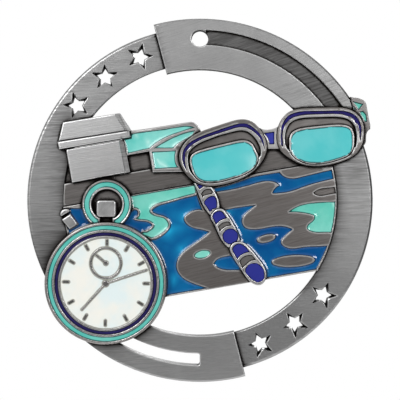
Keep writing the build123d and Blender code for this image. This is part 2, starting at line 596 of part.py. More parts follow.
def medal():
    """Every piece by name. A piece gives way to the relief that stands in front of it."""
    goggles = left_goggle_outline() + right_goggle_outline()
    watch = disc(CASE_R, WATCH) + disc(BOW_R, BOW)
    watch = watch + list(pusher_outlines())
    near = near_plate_outline() + near_lip_outline() + pedestal_outline()
    front = goggles + bridge_outline() + strap_outline() + watch + near
    rope = rope_outlines()
    pieces = {**stopwatch(), **bow_and_crown(), **pusher(), **near_block(),
              **goggle("left", left_goggle_outline(), left_goggle_band(), left_goggle_recess(), left_lens_points()),
              **goggle("right", right_goggle_outline(), right_goggle_band(), right_goggle_recess(),
                       right_lens_points()),
              **goggle_fittings(goggles), **lane_rope(goggles), **far_block(goggles + near)}
    pieces |= pool(front + rope)
    pieces |= deck(front + far_block_outline() + rope)
    pieces |= recesses(front + far_block_outline())
    pieces["top_band"] = top_band(front)
    pieces["bottom_band"] = bottom_band(front)
    pieces["rim_left"] = rim((TOP_BAND_ANGLES[1], BOTTOM_BAND_ANGLES[0]), 0, front)
    pieces["rim_right"] = rim((BOTTOM_BAND_ANGLES[1] - 360, TOP_BAND_ANGLES[0]), 180, front)
    return pieces


FACE = Plane(origin=(0, 0, -HOLE_PITCH), x_dir=(1, 0, 0), z_dir=(0, -1, 0))

os.makedirs("parts", exist_ok=True)
for name, piece in medal().items():
    solids = [FACE.location * solid for solid in piece.solids()]
    export_step(Compound(children=solids) if len(solids) > 1 else solids[0], f"parts/{name}.step")
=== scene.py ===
import logging
import math
from dataclasses import dataclass, field
from enum import Enum

import bmesh
import bpy
import numpy as np
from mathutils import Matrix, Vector
from mathutils.geometry import delaunay_2d_cdt


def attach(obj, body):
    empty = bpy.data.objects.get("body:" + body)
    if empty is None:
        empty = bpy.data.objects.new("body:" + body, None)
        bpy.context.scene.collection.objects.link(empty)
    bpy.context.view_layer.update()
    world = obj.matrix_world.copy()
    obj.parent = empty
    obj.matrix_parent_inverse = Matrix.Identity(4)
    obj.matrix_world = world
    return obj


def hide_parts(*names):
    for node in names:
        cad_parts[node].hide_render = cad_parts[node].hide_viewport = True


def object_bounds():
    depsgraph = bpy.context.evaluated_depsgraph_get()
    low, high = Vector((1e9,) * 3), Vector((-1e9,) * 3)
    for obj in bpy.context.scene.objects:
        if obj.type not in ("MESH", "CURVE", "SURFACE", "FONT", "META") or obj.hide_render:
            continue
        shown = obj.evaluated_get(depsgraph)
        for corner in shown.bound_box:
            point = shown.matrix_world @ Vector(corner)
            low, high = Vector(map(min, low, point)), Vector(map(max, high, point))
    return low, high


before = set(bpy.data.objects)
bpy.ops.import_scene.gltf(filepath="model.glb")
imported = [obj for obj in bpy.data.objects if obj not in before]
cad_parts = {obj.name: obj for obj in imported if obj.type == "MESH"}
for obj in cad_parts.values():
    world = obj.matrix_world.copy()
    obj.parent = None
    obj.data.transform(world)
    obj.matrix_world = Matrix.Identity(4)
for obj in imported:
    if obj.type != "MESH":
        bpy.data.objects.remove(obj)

logging.basicConfig(level=logging.INFO, format="%(message)s")
LOG = logging.getLogger("medal")

Colour = tuple[float, float, float, float]
Point = tuple[float, float]
Node, Socket, Tree = bpy.types.Node, bpy.types.NodeSocket, bpy.types.NodeTree
BMesh, Object, Material = bmesh.types.BMesh, bpy.types.Object, bpy.types.Material
FLOAT, VECTOR = "NodeSocketFloat", "NodeSocketVector"

MM = 0.001
WELD = 1e-6  # metres
SLIVER = 1e-10  # square metres
FRONTAL = -0.9999  # the Y of a normal that looks straight ahead
UPRIGHT = 0.35  # the most that a wall's normal may lean that way
SHARP = math.radians(38.0)  # a crease that stays crisp
FLAT_SAY = 1e4  # how much more a flat front says in a shared normal
TINY = 1e-12  # stands in for a zero divisor
SAME = 1e-6  # millimetres apart at which two corners are one
NO_GAP = 1e3  # the distance to an outline that has no segments, in millimetres
PAIRS_AT_ONCE = 4_000_000

AWAY = "away"  # the attribute that holds a point's distance from the edge

# On the face, in millimetres.
RIM_CENTRE = (0.0, -31.2)
FAR_OFF = 10.0  # the most that the attribute says
EDGE_ZONE = 0.6  # how far in the attribute must be exact
STEP = 0.04  # the least fall that counts as a wall
TOUCHING = 0.03  # the most between two edges that are one
BESIDE = 0.02  # how much farther a corner may be than the nearest
CROWDED = 0.04  # the squares that hold one point each
RISE_RING = 0.12  # how far in from a rising edge its ring of points lies
CLEAR_SHARE = 0.93  # of its distance that a ring's point must keep from every edge
GRID_SHARE = 0.6  # of its spacing that a grid's point must keep from them

CAD_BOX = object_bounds()
ROOT = "root"


def at(x: float, y: float) -> Point:
    """Turns a point on the medal's face into the frame.

    Args:
        x: Millimetres to the right of the rim's centre.
        y: Millimetres above the rim's centre.

    Returns:
        The point's X and Z in millimetres.
    """
    return RIM_CENTRE[0] + x, RIM_CENTRE[1] + y


# --- relief meshes


class EdgeKind(Enum):
    """What lies beyond an edge of a front face."""

    DROP = "a wall down to the back or to a deep recess"
    CELL = "a wall down to a shallow enamel cell"
    RISE = "a wall up, or a slope that the CAD already made"


@dataclass(frozen=True)
class Rounding:
    """A quarter-round edge.

    Attributes:
        width: How far in from the edge it starts, in millimetres.
        drop: How far the edge falls, in millimetres.
    """

    width: float
    drop: float

    def sink(self, away: np.ndarray) -> np.ndarray:
        """Gives how far points sink.

        Args:
            away: Each point's distance from the edge, in millimetres.

        Returns:
            Each point's drop in millimetres.
        """
        near = np.clip(1.0 - away / self.width, 0.0, 1.0)
        return self.drop * (1.0 - np.sqrt(1.0 - near * near))

    def rings(self) -> list[float]:
        """Gives the distances from the edge that need a ring of points."""
        return [self.width * share for share in (0.12, 0.35, 0.65, 1.0)]


@dataclass(frozen=True)
class Meniscus:
    """The hollow surface of enamel that has crept up its walls.

    Attributes:
        sag: How far the middle lies below the edge, in millimetres.
        reach: How far from the wall most of the fall is over, in millimetres.
    """

    sag: float = 0.24
    reach: float = 0.65

    def sink(self, away: np.ndarray) -> np.ndarray:
        """Gives how far points sink below the edge.

        Args:
            away: Each point's distance from the edge, in millimetres.

        Returns:
            Each point's drop in millimetres.
        """
        return self.sag * (1.0 - np.exp(-away / self.reach))

    def rings(self) -> list[float]:
        """Gives the distances from the edge that need a ring of points."""
        return [self.reach * share for share in (0.1, 0.25, 0.45, 0.8, 1.4, 2.2, 3.4)]


def spans_to(points: np.ndarray, segments: np.ndarray) -> np.ndarray:
    """Measures from points to the nearest of many straight segments.

    Args:
        points: Points, one pair to a row.
        segments: Segments, two points to a row.

    Returns:
        Each point's distance; far off where there are no segments.
    """
    if not len(segments) or not len(points):
        return np.full(len(points), NO_GAP)
    start, end = segments[:, 0], segments[:, 1]
    along = end - start
    square = np.maximum((along**2).sum(1), TINY)
    nearest = np.empty(len(points))
    block = max(1, PAIRS_AT_ONCE // len(segments))
    for first in range(0, len(points), block):
        some = points[first : first + block, None, :]
        share = np.clip(((some - start) * along).sum(2) / square, 0.0, 1.0)
        gap = some - (start + share[..., None] * along)
        nearest[first : first + block] = np.sqrt((gap**2).sum(2).min(1))
    return nearest


def inside(points: np.ndarray, segments: np.ndarray) -> np.ndarray:
    """Tells which points lie inside an outline with holes.

    Args:
        points: Points, one pair to a row.
        segments: The outline's segments, two points to a row.

    Returns:
        True for each point inside.
    """
    held = np.zeros(len(points), bool)
    (x1, y1), (x2, y2) = segments[:, 0].T, segments[:, 1].T
    rise = np.where(y2 == y1, TINY, y2 - y1)
    block = max(1, PAIRS_AT_ONCE // len(segments))
    for first in range(0, len(points), block):
        x = points[first : first + block, 0, None]
        y = points[first : first + block, 1, None]
        crossed = ((y1 > y) != (y2 > y)) & (x < x1 + (y - y1) * (x2 - x1) / rise)
        held[first : first + block] = crossed.sum(1) % 2 == 1
    return held


class FrontRegion:
    """One flat front face of a CAD node, at one height."""

    def __init__(self, faces: list[bmesh.types.BMFace]) -> None:
        """Reads the region's outline.

        Args:
            faces: The triangles that make it up.
        """
        self.faces = faces
        self.held = set(faces)
        self.level = faces[0].verts[0].co.y / MM
        self.edges = [e for f in faces for e in f.edges if sum(o in self.held for o in e.link_faces) == 1]
        self.rim = list(dict.fromkeys(v for e in self.edges for v in e.verts))
        self.kinds = {e: self._kind(e) for e in self.edges}

    def _kind(self, edge: bmesh.types.BMEdge) -> EdgeKind:
        """Tells a wall that falls away from one that rises, or from a slope."""
        beyond = next(f for f in edge.link_faces if f not in self.held)
        foot = next(v.co for v in beyond.verts if v not in edge.verts) / MM
        start, end = (Vector((v.co.x, v.co.z)) / MM for v in edge.verts)
        along = end - start
        aside = abs(along.cross(Vector((foot.x, foot.z)) - start)) / max(along.length, TINY)
        return EdgeKind.DROP if foot.y > self.level + STEP and aside < TOUCHING else EdgeKind.RISE

    def segments(self, *kinds: EdgeKind) -> np.ndarray:
        """Gives the outline's segments of some kinds, in millimetres."""
        chosen = [e for e in self.edges if not kinds or self.kinds[e] in kinds]
        return np.array([[(v.co.x / MM, v.co.z / MM) for v in e.verts] for e in chosen]).reshape(-1, 2, 2)

    def mark_cells(self, others: "list[FrontRegion]", depth: float) -> None:
        """Finds the edges that only drop into a shallow cell.

        Args:
            others: The node's other front regions.
            depth: The deepest a cell may be, in millimetres.
        """
        floors = [o for o in others if 0.0 < o.level - self.level < depth]
        if not floors:
            return
        rims = np.concatenate([o.segments(EdgeKind.RISE) for o in floors])
        drops = [e for e in self.edges if self.kinds[e] is EdgeKind.DROP]
        if not drops or not len(rims):
            return
        middles = self.segments(EdgeKind.DROP).mean(1)
        for edge, gap in zip(drops, spans_to(middles, rims)):
            if gap < TOUCHING:
                self.kinds[edge] = EdgeKind.CELL


@dataclass(frozen=True)
class Relief:
    """Finishes a CAD node's crisp front faces as a casting or a pour has them.

    Attributes:
        drop: The shape along edges that fall to the back or a deep recess.
        cell: The shape along the edges of shallow enamel cells.
        cell_depth: The deepest a cell may be, in millimetres.
        spacing: The distance between points along an edge, in millimetres.
        grid: The spacing of points over the middle, or 0 for none.
    """

    drop: Rounding | Meniscus = Rounding(0.24, 0.2)
    cell: Rounding = Rounding(0.1, 0.06)
    cell_depth: float = 0.62
    spacing: float = 0.3
    grid: float = 0.0

    def of_node(self, node: str) -> Object:
        """Makes the finished mesh of a CAD node.

        Args:
            node: The node's name.

        Returns:
            A new object that stands in the node's place.
        """
        mesh = bmesh.new()
        mesh.from_mesh(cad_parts[node].data)
        away = mesh.verts.layers.float.new(AWAY)
        bmesh.ops.remove_doubles(mesh, verts=mesh.verts, dist=WELD)
        mesh.normal_update()
        regions = self._regions(mesh)
        for region in regions:
            region.mark_cells([r for r in regions if r is not region], self.cell_depth)
        lowered = []
        for face in mesh.faces:
            face.smooth = True
        for vert in mesh.verts:
            vert[away] = FAR_OFF
        for region in regions:
            if any(kind is not EdgeKind.RISE for kind in region.kinds.values()):
                lowered.append(self._retop(mesh, region, away))
            else:
                for face in region.faces:
                    face.smooth = False
        if lowered:
            self._lower_walls(mesh, lowered)
        bmesh.ops.dissolve_degenerate(mesh, edges=mesh.edges, dist=WELD / 2)
        return finished(mesh, f"{node}_finished")

    def _regions(self, mesh: BMesh) -> list[FrontRegion]:
        """Gathers the front faces, height by height, with the slivers among them that have no normal."""
        facing = [f for f in mesh.faces if f.normal.y < FRONTAL and f.calc_area() >= SLIVER]
        waiting = set(facing) | {f for f in mesh.faces if f.calc_area() < SLIVER and self._is_level(f)}
        regions = []
        for seed in facing:
            if seed not in waiting:
                continue
            waiting.discard(seed)
            group = [seed]
            for face in group:  # it grows as it is read
                for other in (o for edge in face.edges for o in edge.link_faces if o in waiting):
                    waiting.discard(other)
                    group.append(other)
            regions.append(FrontRegion(group))
        return regions

    def _is_level(self, face: bmesh.types.BMFace) -> bool:
        """Says whether a face lies at one height in front of the back plane."""
        heights = [v.co.y for v in face.verts]
        return max(heights) - min(heights) < WELD / 10 and max(heights) < -WELD

    def _sink(self, points: np.ndarray, region: FrontRegion) -> np.ndarray:
        """Gives how far points of a region sink below its level."""
        far = spans_to(points, region.segments(EdgeKind.DROP))
        near = spans_to(points, region.segments(EdgeKind.CELL))
        return np.maximum(self.drop.sink(far) * (far < NO_GAP), self.cell.sink(near))

    def _inner_points(self, region: FrontRegion, outline: np.ndarray) -> np.ndarray:
        """Places rings of points along the edges and, where asked, a grid between them."""
        found = [np.zeros((0, 2))]
        rings = {EdgeKind.DROP: self.drop.rings(), EdgeKind.CELL: self.cell.rings(), EdgeKind.RISE: [RISE_RING]}
        for kind, distances in rings.items():
            segments = region.segments(kind)
            for away in [*distances, EDGE_ZONE] if len(segments) else []:
                ring = self._ring(segments, away)
                clear = spans_to(ring, outline) > CLEAR_SHARE * away
                found.append(ring[clear & inside(ring, outline)])
        if self.grid:
            low, high = outline.reshape(-1, 2).min(0), outline.reshape(-1, 2).max(0)
            xs, ys = np.arange(low[0], high[0], self.grid), np.arange(low[1], high[1], self.grid)
            grid = np.array([(x + (row % 2) * self.grid / 2, y) for row, y in enumerate(ys) for x in xs])
            clear = spans_to(grid, outline) > GRID_SHARE * self.grid
            found.append(grid[clear & inside(grid, outline)])
        return thinned(np.concatenate(found), CROWDED)

    def _ring(self, segments: np.ndarray, away: float) -> np.ndarray:
        """Samples both sides of the segments at one distance."""
        points = []
        for start, end in segments:
            along = end - start
            length = float(np.hypot(*along))
            if not length:
                continue
            side = np.array([-along[1], along[0]]) / length * away
            steps = max(1, round(length / self.spacing))
            for step in range(steps + 1):
                spot = start + along * step / steps
                points += [spot + side, spot - side]
        return np.array(points).reshape(-1, 2)

    def _retop(
        self, mesh: BMesh, region: FrontRegion, away: bmesh.types.BMLayerItem
    ) -> tuple[np.ndarray, np.ndarray]:
        """Replaces a region's triangles by ones that follow the shape.

        Args:
            mesh: The node's mesh.
            region: The region to replace.
            away: The layer that keeps each point's distance from the edge.

        Returns:
            The places of the edge points that sank, and their new heights.
        """
        rim = region.rim
        place = {v: i for i, v in enumerate(rim)}
        outline = region.segments()
        fixed = np.array([(v.co.x / MM, v.co.z / MM) for v in rim])
        inner = self._inner_points(region, outline)
        points = np.concatenate([fixed, inner])
        links = [tuple(place[v] for v in e.verts) for e in region.edges]
        cut = delaunay_2d_cdt([Vector(p) for p in points], links, [], 0, SAME)
        spots, triangles, origins = np.array([tuple(s) for s in cut[0]]), np.array(cut[2]), cut[3]
        kept = triangles[inside(spots[triangles].mean(1), outline)]
        sink = self._sink(spots, region)
        clear = spans_to(spots, region.segments(EdgeKind.DROP, EdgeKind.CELL))
        bmesh.ops.delete(mesh, geom=region.faces, context="FACES_KEEP_BOUNDARY")
        corners = []
        for spot, origin, low, gap in zip(spots, origins, sink, clear):
            height = (region.level + low) * MM
            own = next((o for o in origin if o < len(rim)), None)
            if own is None:
                corners.append(mesh.verts.new((spot[0] * MM, height, spot[1] * MM)))
            else:
                corners.append(rim[own])
            corners[-1][away] = min(gap, FAR_OFF)
        for own, low in zip(rim, self._sink(fixed, region)):
            own.co.y = (region.level + low) * MM
        for a, b, c in kept:
            turn = np.cross(spots[b] - spots[a], spots[c] - spots[a])
            order = (a, b, c) if turn > 0 else (a, c, b)
            mesh.faces.new([corners[i] for i in order]).smooth = True
        return fixed, np.array([v.co.y for v in rim])

    def _lower_walls(self, mesh: BMesh, lowered: list[tuple[np.ndarray, np.ndarray]]) -> None:
        """Keeps points part-way up a wall below the wall's sunken top."""
        mesh.normal_update()
        tops = np.concatenate([places for places, _ in lowered])
        heights = np.concatenate([h for _, h in lowered])
        rim = {tuple(np.round(p, 4)) for p in tops}
        walls = [v for v in mesh.verts if v.co.y < -WELD and all(abs(f.normal.y) < UPRIGHT for f in v.link_faces)]
        for vert in walls:
            spot = np.array((vert.co.x / MM, vert.co.z / MM))
            gaps = np.hypot(*(tops - spot).T)
            near = heights[gaps < gaps.min() + BESIDE]
            if near.min() > vert.co.y and tuple(np.round(spot, 4)) not in rim:
                vert.co.y = near.min() + WELD


def thinned(points: np.ndarray, gap: float) -> np.ndarray:
    """Drops points that crowd one another.

    Args:
        points: Points, one pair to a row.
        gap: The size of the squares that hold one point each.

    Returns:
        The points that stay.
    """
    if not len(points):
        return points
    _, first = np.unique(np.round(points / gap).astype(int), axis=0, return_index=True)
    return points[np.sort(first)]


def set_normals(data: bpy.types.Mesh) -> None:
    """Smooths rounded edges and keeps flat faces truly flat.

    Args:
        data: The mesh.
    """
    normals = np.empty(len(data.polygons) * 3)
    areas = np.empty(len(data.polygons))
    sides = np.empty(len(data.polygons), int)
    verts = np.empty(len(data.loops), int)
    data.polygons.foreach_get("normal", normals)
    data.polygons.foreach_get("area", areas)
    data.polygons.foreach_get("loop_total", sides)
    data.loops.foreach_get("vertex_index", verts)
    normals = normals.reshape(-1, 3)
    order = np.argsort(verts, kind="stable")
    _, starts, counts = np.unique(verts[order], return_index=True, return_counts=True)
    size = np.repeat(counts, counts)
    first = np.repeat(np.arange(len(order)), size)
    within = np.arange(len(first)) - np.repeat(np.cumsum(size) - size, size)
    second = np.repeat(np.repeat(starts, counts), size) + within
    faces = np.repeat(np.arange(len(sides)), sides)[order]
    own, other = faces[first], faces[second]
    weight = areas[other] * ((normals[own] * normals[other]).sum(1) > math.cos(SHARP))
    weight *= np.where(normals[other, 1] < FRONTAL, FLAT_SAY, 1.0)
    sums = np.stack([np.bincount(first, normals[other, axis] * weight) for axis in range(3)], 1)
    made = np.empty_like(sums)
    made[order] = sums / np.maximum(np.linalg.norm(sums, axis=1), 1e-30)[:, None]
    data.normals_split_custom_set(made.tolist())


def finished(mesh: BMesh, name: str) -> Object:
    """Turns a built mesh into an object with smooth rounded edges.

    Args:
        mesh: The built mesh, which is used up.
        name: The new object's name.

    Returns:
        The object, linked to the scene.
    """
    data = bpy.data.meshes.new(name)
    mesh.to_mesh(data)
    mesh.free()
    set_normals(data)
    piece = bpy.data.objects.new(name, data)
    bpy.context.scene.collection.objects.link(piece)
    return piece


# --- dial marks


@dataclass(frozen=True)
class TickRing:
    """The raised hour marks, set evenly round the dial.

    Attributes:
        centre: The ring's middle on the medal's face, in millimetres.
        count: How many marks there are.
        turn: The first mark's direction in degrees.
        pitch: The radius at each mark's middle, in millimetres.
        length: Each mark's whole length in millimetres.
        width: Each mark's width in millimetres.
        foot: The height that the marks stand on, in millimetres.
        top: The marks' height in millimetres.
        corner: Their corners' radius as a share of the width.
        shoulder: The share of the height where the top starts to draw in.
        crown: The top's size as a share of the foot's.
    """

    centre: Point
    count: int = 12
    turn: float = -1.2
    pitch: float = 7.7
    length: float = 1.32
    width: float = 0.42
    foot: float = 3.6
    top: float = 4.2
    corner: float = 0.45
    shoulder: float = 0.85
    crown: float = 0.8

    def sizes(self, finish: Material) -> dict[str, tuple[str, object]]:
        """Gives the node tree's inputs: for each its socket type and value."""
        x, z = at(*self.centre)
        return {
            "Count": ("NodeSocketInt", self.count),
            "Turn": (FLOAT, math.radians(self.turn)),
            "Pitch": (FLOAT, self.pitch * MM),
            "Length": (FLOAT, self.length * MM),
            "Width": (FLOAT, self.width * MM),
            "Height": (FLOAT, (self.top - self.foot) * MM),
            "Place": (VECTOR, (x * MM, -self.foot * MM, z * MM)),
            "Finish": ("NodeSocketMaterial", finish),
        }

    def tree(self, inputs: dict[str, tuple[str, object]]) -> Tree:
        """Builds the node tree.

        Args:
            inputs: The tree's inputs, as sizes gives them.

        Returns:
            The tree.
        """
        tree = bpy.data.node_groups.new("tick_ring", "GeometryNodeTree")
        for label, (kind, _) in inputs.items():
            tree.interface.new_socket(label, in_out="INPUT", socket_type=kind)
        tree.interface.new_socket("Geometry", in_out="OUTPUT", socket_type="NodeSocketGeometry")
        net = Wiring(tree)
        given = net.add("NodeGroupInput").outputs
        oblong = {"Width": given["Length"], "Height": given["Width"]}
        outline = net.add("GeometryNodeCurvePrimitiveQuadrilateral", oblong)
        radius = net.math("MULTIPLY", given["Width"], self.corner)
        eased = net.add("GeometryNodeFilletCurve", {"Curve": outline.outputs[0], "Radius": radius, "Count": 4},
                        mode="POLY")
        foot = net.add("GeometryNodeFillCurve", {"Curve": eased.outputs[0]})
        rise = net.math("MULTIPLY", given["Height"], self.shoulder)
        wall = net.add("GeometryNodeExtrudeMesh", {"Mesh": foot.outputs[0], "Offset Scale": rise,
                                                   "Individual": False})
        rise = net.math("MULTIPLY", given["Height"], 1.0 - self.shoulder)
        brow = net.add("GeometryNodeExtrudeMesh", {"Mesh": wall.outputs["Mesh"], "Offset Scale": rise,
                                                   "Selection": wall.outputs["Top"], "Individual": False})
        shrunk = net.add("GeometryNodeScaleElements", {"Geometry": brow.outputs["Mesh"], "Scale": self.crown,
                                                       "Selection": brow.outputs["Top"]})
        base = net.add("GeometryNodeFlipFaces", {"Mesh": foot.outputs[0]})
        closed = net.add("GeometryNodeJoinGeometry")
        for part in (base, shrunk):
            net.feed(closed, {0: part.outputs[0]})
        welded = net.add("GeometryNodeMergeByDistance", {"Geometry": closed.outputs[0], "Distance": WELD / 10})
        ring = net.add("GeometryNodeMeshCircle", {"Vertices": given["Count"], "Radius": given["Pitch"]})
        share = net.math("DIVIDE", net.add("GeometryNodeInputIndex").outputs[0], given["Count"])
        facing = net.add("ShaderNodeCombineXYZ", {"Z": net.math("MULTIPLY", share, math.tau)})
        marks = net.add("GeometryNodeInstanceOnPoints",
                        {"Points": ring.outputs[0], "Instance": welded.outputs[0], "Rotation": facing.outputs[0]})
        spun = net.add("ShaderNodeCombineXYZ", {"Z": given["Turn"]})
        turned = net.add("GeometryNodeTransform", {"Geometry": marks.outputs[0], "Rotation": spun.outputs[0]})
        stood = net.add("GeometryNodeTransform", {"Geometry": turned.outputs[0], "Translation": given["Place"],
                                                  "Rotation": (math.radians(90.0), 0.0, 0.0)})
        real = net.add("GeometryNodeRealizeInstances", {"Geometry": stood.outputs[0]})
        dressed = net.add("GeometryNodeSetMaterial", {"Geometry": real.outputs[0], "Material": given["Finish"]})
        net.add("NodeGroupOutput", {"Geometry": dressed.outputs[0]})
        return tree

    def build(self, name: str, finish: Material) -> Object:
        """Makes the marks as one plain mesh.

        Args:
            name: The new object's name.
            finish: Their material.

        Returns:
            The object, linked to the scene.
        """
        inputs = self.sizes(finish)
        tree = self.tree(inputs)
        holder = bpy.data.objects.new("tick_holder", bpy.data.meshes.new("tick_seed"))
        bpy.context.scene.collection.objects.link(holder)
        modifier = holder.modifiers.new("ticks", "NODES")
        modifier.node_group = tree
        for socket in tree.interface.items_tree:
            if socket.in_out == "INPUT":
                modifier[socket.identifier] = inputs[socket.name][1]
        data = bpy.data.meshes.new_from_object(holder.evaluated_get(bpy.context.evaluated_depsgraph_get()))
        bpy.data.objects.remove(holder)
        mesh = bmesh.new()
        mesh.from_mesh(data)
        bmesh.ops.triangulate(mesh, faces=mesh.faces)
        for face in mesh.faces:
            face.smooth = True
        piece = finished(mesh, name)
        piece.data.materials.append(finish)
        return piece


# --- shader groups


@dataclass
class Wiring:
    """A node tree being wired, with short calls for what it repeats."""

    tree: Tree

    def feed(self, node: Node, inputs: dict) -> None:
        """Sets or links a node's inputs, by name or index."""
        for key, value in inputs.items():
            if isinstance(value, Socket):
                self.tree.links.new(value, node.inputs[key])
            else:
                node.inputs[key].default_value = value

    def add(self, kind: str, inputs: dict | None = None, **settings: object) -> Node:
        """Adds a node.

        Args:
            kind: The node's type name.
            inputs: Values or sockets for its inputs, by name or index.
            settings: Values for the node's own properties.

        Returns:
            The node.
        """
        node = self.tree.nodes.new(kind)
        for key, value in settings.items():
            setattr(node, key, value)
        self.feed(node, inputs or {})
        return node

    def group(self, tree: Tree, spot: Socket, **values: object) -> bpy.types.bpy_prop_collection:
        """Places a shader group at some coordinates, with its own values, and gives its outputs."""
        return self.add("ShaderNodeGroup", {"Vector": spot, **values}, node_tree=tree).outputs

    def math(self, operation: str, *values: object, clamp: bool = False) -> Socket:
        """Adds a Math node and gives its output."""
        return self.add("ShaderNodeMath", dict(enumerate(values)), operation=operation, use_clamp=clamp).outputs[0]

    def vector(self, operation: str, *values: object) -> Node:
        """Adds a Vector Math node."""
        return self.add("ShaderNodeVectorMath", dict(enumerate(values)), operation=operation)

    def noise(self, spot: Socket, scale: object, detail: float, rough: float = 0.5) -> Node:
        """Adds a Noise Texture."""
        return self.add("ShaderNodeTexNoise", {"Vector": spot, "Scale": scale, "Detail": detail, "Roughness": rough})

    def mix(self, share: object, first: object, second: object) -> Socket:
        """Mixes two colours and gives the result."""
        return self.add("ShaderNodeMix", {0: share, 6: first, 7: second}, data_type="RGBA").outputs[2]

    def blend(self, share: object, first: object, second: object) -> Socket:
        """Mixes two numbers and gives the result."""
        return self.add("ShaderNodeMapRange", {0: share, 3: first, 4: second}).outputs[0]

    def spread(self, value: object, low: object, high: object, most: float = 1.0) -> Socket:
        """Stretches values from low to high smoothly to 0 to the most, and gives the result."""
        return self.add("ShaderNodeMapRange", {0: value, 1: low, 2: high, 4: most},
                        interpolation_type="SMOOTHSTEP").outputs[0]

    def hypot(self, first: Socket, second: Socket) -> Socket:
        """Gives the length of the long side of a right triangle."""
        return self.math("SQRT", self.math("ADD", *(self.math("MULTIPLY", side, side) for side in (first, second))))

    def fade(self, gap: Socket, reach: Socket) -> Socket:
        """Gives 1 at no gap, falling away over the reach."""
        return self.math("EXPONENT", self.math("DIVIDE", self.math("MULTIPLY", gap, -1.0), reach))


def shader_group(name: str, *outputs: str, **inputs: float) -> tuple[Wiring, bpy.types.bpy_prop_collection, Node]:
    """Starts a shader node group that reads coordinates and some numbers.

    Args:
        name: The group's name.
        outputs: Its outputs by name, all numbers.
        inputs: Its numbers' first values by name.

    Returns:
        The group's wiring, its inputs' sockets, and the node to feed its outputs to.
    """
    tree = bpy.data.node_groups.new(name, "ShaderNodeTree")
    tree.interface.new_socket("Vector", in_out="INPUT", socket_type=VECTOR)
    for label, value in inputs.items():
        tree.interface.new_socket(label, in_out="INPUT", socket_type=FLOAT).default_value = value
    for label in outputs:
        tree.interface.new_socket(label, in_out="OUTPUT", socket_type=FLOAT)
    net = Wiring(tree)
    return net, net.add("NodeGroupInput").outputs, net.add("NodeGroupOutput")


